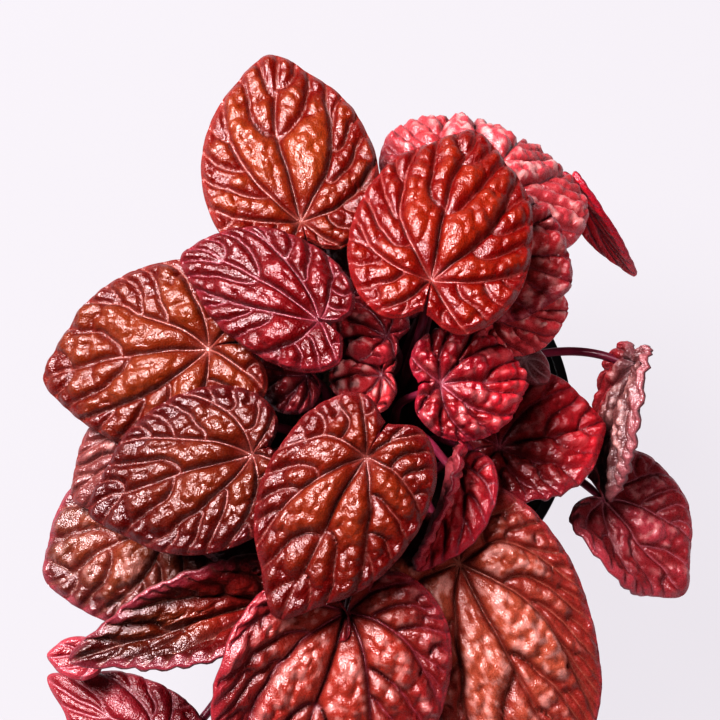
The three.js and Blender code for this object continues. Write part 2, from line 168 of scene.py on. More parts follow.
def hole_walls():
    """The wall of each drain hole: its circle at the floor's underside and at its top."""
    hole, _ = drain_rings()
    quads = grid_quads(2, len(hole), closed=True)
    shapes = []
    for turn in DRAIN_TURNS:
        ring = hole * np.exp(1j * turn)
        points = np.concatenate([level_points(ring, 0), level_points(ring, FLOOR_THICKNESS)])
        shapes.append((points, [quads]))
    return joined(*shapes)


def new_material(name):
    """A new material, its node tree and its Principled shader."""
    material = bpy.data.materials.new(name)
    material.use_nodes = True
    tree = material.node_tree
    return material, tree, tree.nodes["Principled BSDF"]


def add_node(tree, kind, **values):
    """A shader node. Its sockets are set by name, or by number as in6, and its own settings by
    their name with an underscore before it."""
    node = tree.nodes.new(kind)
    for key, value in values.items():
        if key.startswith("_"):
            setattr(node, key[1:], value)
        elif key.startswith("in"):
            node.inputs[int(key[2:])].default_value = value
        else:
            node.inputs[key.replace("_", " ")].default_value = value
    return node


def linear(hex_colour):
    """A display colour such as 8f4a30 as linear red, green, blue and alpha."""
    c = np.array([int(hex_colour[i : i + 2], 16) / 255 for i in (0, 2, 4)])
    c = np.where(c <= 0.04045, c / 12.92, ((c + 0.055) / 1.055) ** 2.4)
    return (*c.tolist(), 1.0)


def black_plastic():
    """Satin black, with a fine mould texture, and a thin film of dried lime in patches."""
    material, tree, shader = new_material("satin_black_plastic")
    place = add_node(tree, "ShaderNodeTexCoord")
    cloud = add_node(tree, "ShaderNodeTexNoise", Scale=38, Detail=5, Roughness=0.62)
    grain = add_node(tree, "ShaderNodeTexNoise", Scale=2600, Detail=2, Roughness=0.5)
    film = add_node(tree, "ShaderNodeMapRange", From_Min=0.5, From_Max=0.78)
    colours = {"in6": linear("131316"), "in7": linear("34343a")}
    colour = add_node(tree, "ShaderNodeMix", _data_type="RGBA", **colours)
    rough = add_node(tree, "ShaderNodeMapRange", To_Min=0.34, To_Max=0.62)
    bump = add_node(tree, "ShaderNodeBump", Strength=0.25, Distance=0.00008)
    link = tree.links.new
    link(place.outputs["Object"], cloud.inputs["Vector"])
    link(place.outputs["Object"], grain.inputs["Vector"])
    link(cloud.outputs["Fac"], film.inputs["Value"])
    link(film.outputs["Result"], colour.inputs[0])
    link(film.outputs["Result"], rough.inputs["Value"])
    link(colour.outputs[2], shader.inputs["Base Color"])
    link(rough.outputs["Result"], shader.inputs["Roughness"])
    link(grain.outputs["Fac"], bump.inputs["Height"])
    link(bump.outputs["Normal"], shader.inputs["Normal"])
    return material


pot_points, pot_faces = joined(
    turned_wall(rounded_profile(WALL_PROFILE, CORNER_RADIUS), POT_TURNS),
    pierced_floor(0),
    pierced_floor(FLOOR_THICKNESS),
    hole_walls(),
)
pot = mesh_piece("nursery_pot", pot_points, pot_faces, black_plastic())
merge_seams(pot)
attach(pot, "root")
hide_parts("pot")

# ---------------------------------------------------------------- the soil
# Damp, dark peat and fine bark filled in round the roots and pressed down by watering. Its top
# is a crumbly crust a finger's width under the rim, with loose crumbs and chips lying on it.

SOIL_TOP = 83
SOIL_CROWN = 0.8  # the soil is this much higher in the middle than at the pot's wall
SOIL_EDGE = 49.3
SOIL_SIDE = [(49.25, 82.0), (48.15, 80), (36.25, 2.35), (0.01, 2.35)]  # radius and height
CRUST_LUMPS = [(5, 0.55), (2, 0.4), (0.9, 0.25)]  # width and height of three sizes of lump
CRUST_SINK = 0.4  # how far the lumps' middle lies under the level top
CRUMBS = 520
LATTICE = 64  # after so many units the noise repeats


def smooth_noise(seed, x, y):
    """Smooth noise from -1 to 1, one lump for each unit of x and y: random values on a square
    lattice, blended with the curve 3t^2 - 2t^3 between lattice points."""
    values = np.random.default_rng(seed).uniform(-1, 1, (LATTICE, LATTICE))
    x0 = np.floor(x).astype(int)
    y0 = np.floor(y).astype(int)
    u = x - x0
    v = y - y0
    u = u * u * (3 - 2 * u)
    v = v * v * (3 - 2 * v)
    left, right = x0 % LATTICE, (x0 + 1) % LATTICE
    under, over = y0 % LATTICE, (y0 + 1) % LATTICE
    low = values[under, left] * (1 - u) + values[under, right] * u
    high = values[over, left] * (1 - u) + values[over, right] * u
    return low * (1 - v) + high * v


def soil_crust(rows=60, turns=180):
    """Height over a disc: the level top, plus lumps of three sizes that fade over the last sixth
    of the way to the wall. The side goes down from there to the underside."""
    share = np.linspace(0.004, 1, rows)[:, None]
    turn = np.linspace(0, 2 * np.pi, turns, endpoint=False)[None, :]
    x = SOIL_EDGE * share * np.cos(turn)
    y = SOIL_EDGE * share * np.sin(turn)
    lumps = 0
    for seed, (width, lift) in enumerate(CRUST_LUMPS, start=1):
        lumps = lumps + lift * smooth_noise(seed, x / width, y / width)
    fade = np.minimum(1, 6 * (1.02 - share))
    height = SOIL_TOP - SOIL_CROWN * share + (lumps - CRUST_SINK) * fade
    top = np.stack([x, y, height], axis=-1)
    side = np.array(SOIL_SIDE)[:, None, :]
    around = np.stack([side[..., 0] * np.cos(turn), side[..., 0] * np.sin(turn),
                       np.broadcast_to(side[..., 1], (len(side), turns))], axis=-1)
    points = np.concatenate([top, around]).reshape(-1, 3)
    return points, [grid_quads(rows + len(side), turns, closed=True)]


def soil_crumbs(count, seed=5):
    """Loose lumps: a sphere of few faces, roughened, stretched to 0.35 to 1.25 mm with most of
    them small, turned about Z, and set down at random places on the crust."""
    draw = np.random.default_rng(seed)
    rows, columns = 5, 7
    down = np.linspace(0.02, np.pi - 0.02, rows)[:, None]
    turn = np.linspace(0, 2 * np.pi, columns, endpoint=False)[None, :]
    ball = np.stack([np.sin(down) * np.cos(turn), np.sin(down) * np.sin(turn),
                     np.cos(down) * np.ones_like(turn)], -1).reshape(1, -1, 3)
    size = 0.35 + 0.9 * draw.uniform(size=(count, 1, 1)) ** 2.2
    ball = ball * (1 + 0.22 * draw.standard_normal((count, rows * columns, 1)))
    ball = ball * size * draw.uniform([0.7, 0.7, 0.5], [1.7, 1.1, 0.9], (count, 1, 3))
    spin = draw.uniform(0, 2 * np.pi, (count, 1))
    x = ball[..., 0] * np.cos(spin) - ball[..., 1] * np.sin(spin)
    y = ball[..., 0] * np.sin(spin) + ball[..., 1] * np.cos(spin)
    radius = (SOIL_EDGE - 2) * np.sqrt(draw.uniform(size=(count, 1)))
    turn = draw.uniform(0, 2 * np.pi, (count, 1))
    height = SOIL_TOP - SOIL_CROWN * radius / SOIL_EDGE + ball[..., 2] - 0.1
    points = np.stack([x + radius * np.cos(turn), y + radius * np.sin(turn), height], -1)
    firsts = rows * columns * np.arange(count)[:, None, None]
    quads = grid_quads(rows, columns, closed=True)[None] + firsts
    return points.reshape(-1, 3), [quads.reshape(-1, 4)]


def damp_peat():
    """Dark brown with lighter fibres and a damp glint, in grains of about a millimetre."""
    material, tree, shader = new_material("damp_peat")
    place = add_node(tree, "ShaderNodeTexCoord")
    grain = add_node(tree, "ShaderNodeTexVoronoi", Scale=900)
    cloud = add_node(tree, "ShaderNodeTexNoise", Scale=420, Detail=4, Roughness=0.7)
    colour = add_node(tree, "ShaderNodeValToRGB")
    ramp = colour.color_ramp
    ramp.elements[0].color = linear("0c0705")
    ramp.elements[1].color = linear("2e1c12")
    ramp.elements[0].position = 0.32
    ramp.elements[1].position = 0.78
    bump = add_node(tree, "ShaderNodeBump", Strength=0.8, Distance=0.0004)
    link = tree.links.new
    link(place.outputs["Object"], grain.inputs["Vector"])
    link(place.outputs["Object"], cloud.inputs["Vector"])
    link(cloud.outputs["Fac"], colour.inputs["Fac"])
    link(colour.outputs["Color"], shader.inputs["Base Color"])
    link(grain.outputs["Distance"], bump.inputs["Height"])
    link(bump.outputs["Normal"], shader.inputs["Normal"])
    shader.inputs["Roughness"].default_value = 0.9
    shader.inputs["Specular IOR Level"].default_value = 0.12
    return material


soil_points, soil_faces = joined(soil_crust(), soil_crumbs(CRUMBS))
soil = mesh_piece("potting_soil", soil_points, soil_faces, damp_peat())
merge_seams(soil)
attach(soil, "root")
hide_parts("soil")

# ---------------------------------------------------------------- the leaf blades
# Thick, waxy, heart-shaped blades. Seven main veins run from the stalk in deep furrows, fork on
# their way out, and the flesh between them swells into long lumpy pillows. The skin is glossy
# and grainy, pinkest along the edge, and pale and dull underneath. The flanks of the furrows are
# darker and redder than the crests, partly as the leaf's own colour and partly as painted shade.
# Some blades also get painted sheen, a painted glow of light shining through and painted shade.

# The outline, as a reach from the stalk by angle from the tip: shares of the blade's length
SIDE_REACH = 0.55
TIP_POINT = 0.13
TIP_POINT_ANGLE = 0.36
TIP_BLUNTNESS = 0.07
TIP_SHARPNESS = 5
OUTLINE_HALF_WIDTH = 0.545
SINUS = np.radians(176)
LOBE_ROUNDING = 0.3
LOBE_ROUNDING_START = 0.84  # of the way from the tip round to the sinus
UNEVENNESS = 0.014

# The bent sheet
UPPER_FACE = 0.475  # over and under the middle of the blade's thickness
LOWER_FACE = -0.45
FUNNEL_DEPTH = 0.05  # shares of the length: how far the blade sinks at its stalk, and how near to it
FUNNEL_RADIUS = 0.18
FOLD_SOFTNESS = 0.1
BEND_STEPS = 12
EDGE_WAVE = 0.6
EDGE_ROLL = 0.8
EDGE_BULGE = 0.22

# The veins. Sectors count main veins from the midrib, of which each side has three, and the last
# half sector leads on to the sinus.
HALF_SECTORS = 3.5
VEIN_CURL = 0.34  # how far the veins bend towards the tip on their way out
DRAW_IN = (0, 0.3, 0.3, 0.1)  # sectors by which each main vein draws in to the tip
DRAW_IN_POWER = 1.6
WANDER = 0.13
SMALL_WANDER = 0.035
VEIN_START = 0.004  # runs between which a main vein goes
VEIN_END = 0.985
VEIN_STEPS = 120
FIRST_FORK = 0.3  # run at which the first branch may leave its main vein
FORK_SPREAD = 0.58
FORK_DELAYS = (0.06, 0, 0, 0.2)  # by main vein, from the midrib
MOST_BRANCHES = (2, 3, 3, 1)
BRANCH_SPACING = 14
FORK_LENGTH = 0.26  # in which a branch turns from its main vein's way to its own
FORK_DRIFT = 0.28  # share of its way aside that it makes evenly, all the way out
LONG_BLADE = 55  # longer than this it has a branch more
SPLIT_WIDTH = 15  # a pillow wider than this is split
SPLIT_LENGTH = 0.13

# By a vein's order: main veins, branches and splits
VEIN_HOLD = (40, 40, 8)
VEIN_DEPTH = (1, 1, 0.92)
VEIN_SHOW = (0.5, 0.4, 0.25)
VEIN_WIDTHS = (0.36, 0.28, 0.22)
CORD_LIFT = 0.4  # height of the cord in a furrow, as a share of its width
CORD_FOOT = 1.9  # how much wider it is at its foot
CORD_SUNK = 0.12
CORD_THINNING = 0.55  # share of its width that it loses on its way out

# The pillows between the veins
SWELL = 1.35
ROUNDNESS = 0.52
HIGHEST = 5.2
FULL_SWELL = 3.2  # the height at which the colour is all the crest's
FURROW_WIDTH = 0.36
EDGE_HOLD = 0.12  # how firmly the skin is held past the edge
PRESSURE_LUMPS = [(500, 3.4, 0.8), (600, 1.8, 0.5)]  # seed, width and push of two sizes of lump
LEAST_PRESSURE = 0.1
SKIN_SWEEPS = 90
OVERSHOOT = 1.75
PILLOW_TOP = 1.18
PILLOW_CREASES = [(30, 3.8, 0.62), (60, 1.9, 0.28)]  # seed, width and depth of two sizes
CRINKLE_WIDTH = 2.8
MARGIN = 1.0
MARGIN_DROP = 0.4
AWAY = 20  # moves the middle of a pattern off the blade

# How far a colour reaches from the edge, a vein and the blade's middle, by bell curves, and how
# wide a patch of painted sheen, a painted highlight, is
EDGE_REACH = 2.2
VEIN_REACH = 0.4
STAR_REACH = 2.4
SHEEN_PATCH = 1.3

# How fine the mesh and the raster are
DETAIL = ((41, 32), (21, 26), (0, 18))  # blades longer than this have so many columns a sector
HIDDEN_LEAVES = (24, 26, 28, 29, 30, 31, 32)  # those under the others need fewer
HIDDEN_DETAIL = 16
RINGS_TO_COLUMNS = 1.05
RING_CROWDING = 0.86  # under 1, it crowds the rings towards the edge
SMALL_BLADE = 21  # a blade no longer than this has a finer raster
USUAL_CELL = 0.32
FINE_CELL = 0.2

# One row a leaf, by its number: the stalk's end [x, y, height over the rim], [heading, pitch, roll]
# with heading 0 to +X, [length, width, left lobe, right lobe, sweep], [fold, left cup, right cup,
# arch], the root's [radius, direction], and the finish. All its angles are in degrees.
ROSETTE = {
    1: ([-20.5, 38, 50], [105, 2, 0], [50, 47, 0.18, 0.18, -4], [4, -14, -14, 10], [10.5, 135], "rust"),
    2: ([13, 18, 66], [80, 6, 0], [48, 47, 0.28, 0.3, -4], [0, -14, -14, 20], [10.5, 48], "ember"),
    3: ([24, 50, 35], [65, 15, 0], [42, 60, 0.3, 0.3, 0], [0, -20, -20, 60], [16, 66], "rose"),
    4: ([53, 63.5, 6], [307, 36, 68], [33, 14, 0.1, 0.1, 0], [10, 20, 20, 10], [16, 44], "scarlet"),
    5: ([-15, 8, 62], [142, 8, 0], [44, 33, 0.26, 0, 15], [0, -34, -8, 14], [13, 150], "crimson"),
    6: ([-43.5, 4.5, 46], [184, 12, 0], [48, 50, 0.36, 0.36, 2], [0, -26, -4, 20], [16, 184], "rust"),
    7: ([-31, -25, 54], [198, 8, 0], [46, 43, 0.16, 0.16, 0], [0, -8, -8, 18], [10.5, 214], "russet"),
    8: ([-2.5, -28, 65], [239, 12, 0], [47, 42, 0.3, 0.3, 2], [0, -22, -14, 16], [10.5, 250], "russet"),
    9: ([2, 9, 45], [156, 10, 0], [17, 19, 0.3, 0.3, 0], [0, 10, 10, 20], [5, 100], "maroon"),
    10: ([1, -1, 43], [182, 10, 0], [14, 20, 0.3, 0.3, 0], [0, -20, -20, 20], [5, 190], "crimson"),
    11: ([16, -5, 51], [8, 6, 0], [24, 30, 0.34, 0.34, 0], [0, -20, -20, 30], [5, 350], "scarlet"),
    12: ([32, -14, 24], [16, 8, 0], [30, 38, 0.34, 0.34, 0], [10, 20, 20, 10], [16, 340], "crimson"),
    13: ([20, -22.7, 40.5], [254, 0, -46], [30, 28, 0.1, 0.1, 0], [60, 0, 0, 6], [10.5, 322], "maroon"),
    14: ([22, -47, 33], [297, 12, 0], [68, 54, 0.28, 0.3, 0], [0, -14, -22, 18], [16, 300], "salmon"),
    15: ([-6.5, -62, 41], [254, 14, 0], [60, 62, 0.22, -0.18, 0], [0, -20, 52, 20], [10.5, 230], "crimson"),
    16: ([-28, -57, 28], [198, 2, 0], [54, 36, 0.2, 0.2, 0], [45, 10, 34, 0], [16, 246], "brown"),
    17: ([-53, -35, 20], [203, 8, 0], [38, 48, 0.36, 0.36, 0], [0, -14, -14, 16], [16, 211], "brown"),
    18: ([-50, -14, 34], [210, 12, 0], [36, 34, 0.3, 0.3, 0], [0, -14, -14, 20], [21, 197], "russet"),
    19: ([-54, -90, 4], [150, 0, 0], [38, 30, 0.3, 0.3, 0], [0, -10, -30, 20], [21, 242], "rose"),
    20: ([67, 10, 21], [258, 17, 54], [38, 25, 0.05, 0.05, 0], [0, 40, 0, 10], [16, 8], "ash_pink"),
    21: ([61, -22, 1], [314, 14, 0], [35, 39, 0.3, 0, 0], [0, -14, 80, 10], [21, 316], "rose"),
    22: ([24, 33, 48], [340, 6, 0], [28, 36, 0.3, 0.3, 0], [0, -14, -14, 12], [10.5, 22], "maroon"),
    23: ([29, 17, 38], [14, 8, 0], [22, 24, 0.3, 0.3, 0], [0, -10, -10, 20], [16, 27], "crimson"),
    24: ([2, 25, 31], [106, 6, 0], [36, 27, 0.24, 0.24, 0], [0, -14, -14, 12], [10.5, 90], "maroon"),
    25: ([-18, 0, 38], [185, 8, 0], [15, 20, 0.2, 0.2, 0], [0, -14, -14, 20], [16, 199], "maroon"),
    26: ([-22, -36, 31], [186, 6, 0], [30, 24, 0.26, 0.26, 0], [0, -14, -14, 16], [16, 230], "maroon"),
    27: ([38, 7, 33], [320, 10, 0], [9, 9, 0.3, 0.3, 0], [0, 0, 0, 20], [11, 353], "ash_pink"),
    28: ([-14, 45, 15], [105, 15, 0], [36, 36, 0.34, 0.34, 0], [0, -14, -14, 20], [16, 112], "maroon"),
    29: ([10, 45, 10], [70, 15, 0], [38, 38, 0.34, 0.34, 0], [0, -14, -14, 20], [16, 88], "maroon"),
    30: ([-50, 8, 20], [178, 15, 0], [34, 34, 0.34, 0.34, 0], [0, -14, -14, 20], [16, 166], "maroon"),
    31: ([32, -50, 8], [298, 15, 0], [36, 36, 0.34, 0.34, 0], [0, -14, -14, 20], [21, 288], "russet"),
    32: ([-5, -62, 6], [262, 15, 0], [38, 34, 0.34, 0.34, 0], [0, -14, -14, 20], [16, 272], "maroon"),
    33: ([-72, -70, 12], [175, 0, 0], [12, 11, 0.2, 0.2, 0], [0, 20, 20, 0], [21, 222], "rose"),
}


# How a leaf differs from the usual one. In form, `relief` and `lumps` scale its pillows and the
# lumps on them, `pucker` is the height of a young leaf's crinkles, `branches` scales the number of
# branch veins, `early` lets them leave sooner, and `tip` draws out its point. In colour, `dim`
# darkens it with painted shade, `pale` paints patches of pale sheen, a painted highlight, on its
# crests, `warm` turns its middle brown, and `lit` paints in the red glow of light shining through
# it. That glow starts at `lit_from` on the way `lit_way`, counted in lengths forward of the stalk
# and half widths to the left.
USUAL_LEAF = {
    "relief": 1, "lumps": 1.2, "pucker": 0, "branches": 1, "early": 0, "tip": 1,
    "dim": 0, "pale": 0, "warm": 0, "lit": 0, "lit_from": -2, "lit_way": (1, 0),
}
ODD_LEAVES = {
    3: {"relief": 1.2, "lumps": 1.4, "branches": 1.4, "pale": 0.55, "lit": 0.3},
    4: {"relief": 0.3, "branches": 0.4, "lit": 1.0},
    5: {"dim": 0.3},
    6: {"tip": 1.1, "warm": 0.6, "dim": 0.28},
    7: {"tip": 1.1, "lumps": 1.5, "warm": 0.6, "dim": 0.4},
    8: {"tip": 1.3, "lumps": 1.4, "warm": 0.4, "dim": 0.08},
    9: {"relief": 1.2, "pucker": 2.6, "branches": 0.4, "pale": 0.35, "lit": 0.4},
    10: {"relief": 1.2, "pucker": 2.6, "branches": 0.4, "pale": 0.75, "lit": 0.7},
    11: {"relief": 1.2, "pucker": 2.4, "branches": 0.6, "pale": 0.12, "lit": 0.5, "lit_from": 0.25},
    12: {"relief": 1.3, "pucker": 0.8, "pale": 0.1, "dim": 0.2, "lit": 0.75, "lit_from": 0.3},
    13: {"relief": 0.8, "pucker": 1, "pale": 0.12, "lit": 0.35},
    14: {"relief": 1.2, "lumps": 1.4, "early": 0.15, "branches": 0.7, "warm": 0.35, "pale": 0.3},
    15: {"relief": 1.1, "lumps": 1.3, "early": 0.25, "branches": 0.7, "warm": 0.4, "pale": 0.2},
    16: {"tip": 1.9, "dim": 0.42, "warm": 0.6, "lit": 0.4, "lit_from": -0.5, "lit_way": (-1, 0)},
    17: {"lumps": 1.5, "warm": 0.6, "pale": 0.2, "dim": 0.1},
    18: {"pale": 0.7},
    19: {"relief": 0.6, "tip": 2, "branches": 0.5, "dim": 0.12},
    20: {"relief": 1, "pucker": 1.6, "branches": 0.5, "pale": 0.4, "lit": 0.8, "lit_from": 0.1,
         "lit_way": (-0.3, -1)},
    21: {"relief": 0.9, "lumps": 1.5, "tip": 1.4, "pale": 0.25, "dim": 0.1},
    22: {"relief": 1.4, "pucker": 2.2, "warm": 0.4, "pale": 0.3, "lit": 0.25},
    23: {"relief": 1.4, "pucker": 2, "pale": 1.0, "lit": 1.0},
    25: {"relief": 1.2, "pucker": 2, "branches": 0.6, "pale": 0.15, "lit": 0.15},
    27: {"relief": 0.6, "branches": 0.4},
    33: {"relief": 0.4, "branches": 0.5},
}


def rise(x, low, high):
    """0 below low, 1 above high, and 3t^2 - 2t^3 between."""
    t = np.clip((x - low) / (high - low), 0, 1)
    return t * t * (3 - 2 * t)


class Leaf:
    """One row of the rosette, with its angles in radians and its place as three unit vectors: to
    its tip, to its left and off its upper face. Each pattern on it has a seed of its own, which is
    a round number plus the leaf's."""

    def __init__(self, number, row):
        place, turns, size, bends, (radius, direction), self.finish = row
        self.number = number
        self.name = f"leaf_{number:02d}"
        self.length, self.width, self.left_lobe, self.right_lobe, sweep = size
        self.sweep = np.radians(sweep)
        self.fold, self.left_cup, self.right_cup, self.arch = np.radians(bends)
        heading, pitch, roll = np.radians(turns)
        self.end = np.array(place) + [0, 0, POT_HEIGHT]
        self.root = radius * np.array([np.cos(np.radians(direction)), np.sin(np.radians(direction))])
        ahead = np.array([np.cos(heading), np.sin(heading), 0])
        level = np.array([-np.sin(heading), np.cos(heading), 0])
        tip = np.cos(pitch) * ahead - np.sin(pitch) * np.array([0, 0, 1])
        off = np.cross(tip, level)
        left = level * np.cos(roll) + off * np.sin(roll)
        self.axes = np.array([tip, left, np.cross(tip, left)])
        self.traits = {**USUAL_LEAF, **ODD_LEAVES.get(number, {})}


def outline_reach(angle, lobe, tip_point):
    """Reach of a blade of length 1 from its stalk, by angle from the tip: full towards the tip,
    drawn out by tip_point to a blunt point at angle 0, and drawn in to the lobe's own reach at
    the sinus."""
    towards_tip = ((1 + np.cos(angle)) / 2) ** TIP_SHARPNESS
    towards_sinus = ((1 - np.cos(angle)) / 2) ** 2
    blunt = np.sqrt(angle**2 + TIP_BLUNTNESS**2) - 0.4 * TIP_BLUNTNESS
    point = tip_point * np.maximum(0, 1 - blunt / TIP_POINT_ANGLE) ** 2
    body = (1 - tip_point - SIDE_REACH) * towards_tip
    return SIDE_REACH + body - (SIDE_REACH - lobe) * towards_sinus + point


def laid_flat(leaf, sector, run):
    """Where a point lies on the blade laid out flat, in millimetres forward of the stalk and to
    its left. Sector counts main veins from the midrib, run is 0 at the stalk and 1 at the edge.
    The veins wander a little, and curl towards the tip on their way out."""
    number = leaf.number
    wander = WANDER * smooth_noise(100 + number, sector * 0.9 + AWAY, run * 2.2)
    wander = wander + SMALL_WANDER * smooth_noise(200 + number, sector * 2.3 + AWAY, run * 7)
    inside = np.clip(HALF_SECTORS - np.abs(sector), 0, 1)
    angle = SINUS * (sector + wander * inside * rise(run, 0.02, 0.4)) / HALF_SECTORS
    bent = angle - VEIN_CURL * run * np.sin(np.pi * angle / SINUS)
    rounding = 1 - LOBE_ROUNDING * rise(np.abs(angle) / SINUS, LOBE_ROUNDING_START, 1)
    lobe = np.where(bent > 0, leaf.left_lobe, leaf.right_lobe)
    uneven = 1 + UNEVENNESS * smooth_noise(300 + number, sector * 2.1 + AWAY, run * 0 + 3.3)
    outline = outline_reach(bent, lobe, TIP_POINT * leaf.traits["tip"])
    reach = run * outline * rounding * uneven * leaf.length
    swept = bent + leaf.sweep * (reach / leaf.length) ** 2
    forward = reach * np.cos(swept)
    aside = reach * np.sin(swept) * leaf.width / (2 * OUTLINE_HALF_WIDTH * leaf.length)
    return forward, aside


def bent_path(slope_at, length):
    """How far along and how far up a path of that length ends, when its slope at each distance
    is slope_at(distance): the sums of cos(slope) and sin(slope) over equal steps."""
    along = up = 0
    for i in range(BEND_STEPS):
        slope = slope_at((i + 0.5) / BEND_STEPS * length)
        along = along + np.cos(slope) * length / BEND_STEPS
        up = up + np.sin(slope) * length / BEND_STEPS
    return along, up


def on_blade(leaf, forward, aside, relief):
    """A point of the bent blade: the flat blade is bent down along the midrib by its arch, its
    sides are bent up by fold and cup, and relief is laid off along the normal."""
    side = np.where(aside < 0, -1.0, 1.0)
    curl = np.where(side > 0, leaf.left_cup, leaf.right_cup)

    def side_slope(d):
        return leaf.fold * np.tanh(d / (FOLD_SOFTNESS * leaf.length)) + curl * d / (leaf.width / 2)

    def arch_slope(d):
        return -leaf.arch * d / leaf.length

    across, lift = bent_path(side_slope, np.abs(aside))
    spine_x, spine_z = bent_path(arch_slope, forward)
    tilt = side * side_slope(np.abs(aside))
    pitch = arch_slope(forward)
    zero = np.zeros_like(pitch)
    up = np.stack([-np.sin(pitch), zero, np.cos(pitch)], -1)
    normal = up * np.cos(tilt)[..., None]
    normal[..., 1] -= np.sin(tilt)
    point = np.stack([spine_x, side * across, spine_z], -1) + up * lift[..., None]
    point = point + normal * np.asarray(relief)[..., None]
    return leaf.end + point @ leaf.axes


def quarter_turn(way):
    """A quarter of an ellipse, from 0 to 1 as the way goes from 0 to 1: sqrt(1 - (1 - way)^2)."""
    return np.sqrt(1 - (1 - np.clip(way, 0, 1)) ** 2)


def outward_runs(start):
    """Runs from `start` to the edge, in steps that grow on the way out."""
    return start + (VEIN_END - start) * np.linspace(0, 1, VEIN_STEPS) ** 1.5


def fork_places(leaf, draw, k, low, high):
    """Runs at which the branches of main vein k leave it one after the other, and sectors at which
    they reach the edge, in nearly even steps between its own end and the next main vein's."""
    count = round((high - low) * leaf.length / BRANCH_SPACING + draw.uniform(-0.3, 0.3))
    count = min(count, MOST_BRANCHES[k] + (leaf.length > LONG_BLADE))
    count = round(count * leaf.traits["branches"])
    place = (np.arange(count) + draw.uniform(0, 0.4, count)) / max(count, 2)
    starts = FIRST_FORK + FORK_SPREAD * place**0.8 + FORK_DELAYS[k]
    ends = (np.arange(count) + 1 + draw.uniform(-0.12, 0.12, count)) / (count + 1)
    return starts * (1 - 0.65 * leaf.traits["early"]), high - (high - low) * ends


def branch_vein(leaf, start, end, k, pull):
    """Sectors and runs of a branch of main vein k. It turns away in a quarter of an ellipse, so
    that a pillow starts in a round end, and then drifts on to its own end."""
    run = outward_runs(start)
    parent = k - pull * run**DRAW_IN_POWER
    turning = min(FORK_LENGTH + 0.3 * leaf.traits["early"], 0.95 - start)
    drift = 1 - FORK_DRIFT + FORK_DRIFT * (run - start) / (VEIN_END - start)
    return parent + (end - parent) * drift * quarter_turn((run - start) / turning), run


def splitting_vein(draw, inner, outer):
    """Sectors and runs of a short vein that starts near the edge, beside the inner one of two
    veins, and turns into the middle between them."""
    start = draw.uniform(0.7, 0.82)
    run = outward_runs(start)
    middle = inner + (outer - inner) * draw.uniform(0.42, 0.58)
    stem = inner + (outer - inner) * 0.06
    return stem + (middle - stem) * quarter_turn((run - start) / SPLIT_LENGTH), run


def vein_network(leaf):
    """Main veins start on whole sectors and draw in towards the tip. Each sends branches outwards,
    away from the midrib, and wide pillows are split once more near the edge. Each vein is its
    order, its sectors and its runs."""
    draw = np.random.default_rng(400 + leaf.number)
    t = np.linspace(0, 1, VEIN_STEPS)
    straight = VEIN_START + (VEIN_END - VEIN_START) * t
    veins = [(0, 0 * t, straight)]
    for side in (-1, 1):
        pull = np.array(DRAW_IN) * draw.uniform(0.8, 1.2, 4)
        for k in (1, 2, 3):
            veins.append((0, side * (k - pull[k] * straight**DRAW_IN_POWER), straight))
        landings = [*(np.arange(4) - pull), HALF_SECTORS]
        for k in range(4):
            low, high = landings[k : k + 2]
            starts, ends = fork_places(leaf, draw, k, low, high)
            for start, end in zip(starts, ends):
                sector, run = branch_vein(leaf, start, end, k, pull[k])
                veins.append((1, side * sector, run))
            lines = [low, *ends[::-1], high]
            for inner, outer in zip(lines[:-1], lines[1:]):
                if k < 3 and (outer - inner) * leaf.length >= SPLIT_WIDTH:
                    sector, run = splitting_vein(draw, inner, outer)
                    veins.append((2, side * sector, run))
    return veins


def cobbles(seed, x, y):
    """Distance to the nearest of a scatter of points, one at a random place in each unit square:
    0 at a point, and about 0.7 in the creases half way between points."""
    shift = np.random.default_rng(seed).uniform(0.1, 0.9, (2, LATTICE, LATTICE))
    x0 = np.floor(x).astype(int)
    y0 = np.floor(y).astype(int)
    nearest = np.full(np.shape(x), np.inf)
    for row in (y0 - 1, y0, y0 + 1):
        for column in (x0 - 1, x0, x0 + 1):
            shift_x, shift_y = shift[:, row % LATTICE, column % LATTICE]
            away = np.hypot(column + shift_x - x, row + shift_y - y)
            nearest = np.minimum(nearest, away)
    return nearest


def nearest_samples(x, y, at, samples):
    """The number of the nearest sample for each cell of a raster, or -1. Each cell starts with the
    sample that lies in it, if any, and takes over what its neighbours a few cells off have where
    that is nearer."""
    closest = np.full(x.shape, -1)
    closest[at] = np.arange(len(samples))
    far = np.where(closest < 0, np.inf, 0.0)
    for step in (6, 3, 2, 1, 1):
        for dy in (-step, 0, step):
            for dx in (-step, 0, step):
                other = np.roll(closest, (dy, dx), axis=(0, 1))
                away = np.hypot(x - samples[other, 0], y - samples[other, 1])
                nearer = (other >= 0) & (away < far)
                closest = np.where(nearer, other, closest)
                far = np.where(nearer, away, far)
    return closest


def blown_up(pressure, hold):
    """The rise of a skin under pressure over a raster, by sweeps over every second cell: each
    cell goes to the sum of its four neighbours and the pressure, divided by 4 plus its hold, and a
    little past it, which settles the skin sooner."""
    rows, columns = hold.shape
    skin = np.zeros((rows, columns))
    checker = (np.arange(1, rows - 1)[:, None] + np.arange(1, columns - 1)[None, :]) % 2
    soft = OVERSHOOT / (4 + hold[1:-1, 1:-1])
    share = [np.where(checker == colour, soft, 0) for colour in (0, 1)]
    own = [np.where(checker == colour, OVERSHOOT, 0) for colour in (0, 1)]
    for _ in range(SKIN_SWEEPS):
        for colour in (0, 1):
            around = skin[:-2, 1:-1] + skin[2:, 1:-1] + skin[1:-1, :-2] + skin[1:-1, 2:]
            around = around + pressure[1:-1, 1:-1]
            skin[1:-1, 1:-1] += share[colour] * around - own[colour] * skin[1:-1, 1:-1]
    return np.maximum(skin, 0)


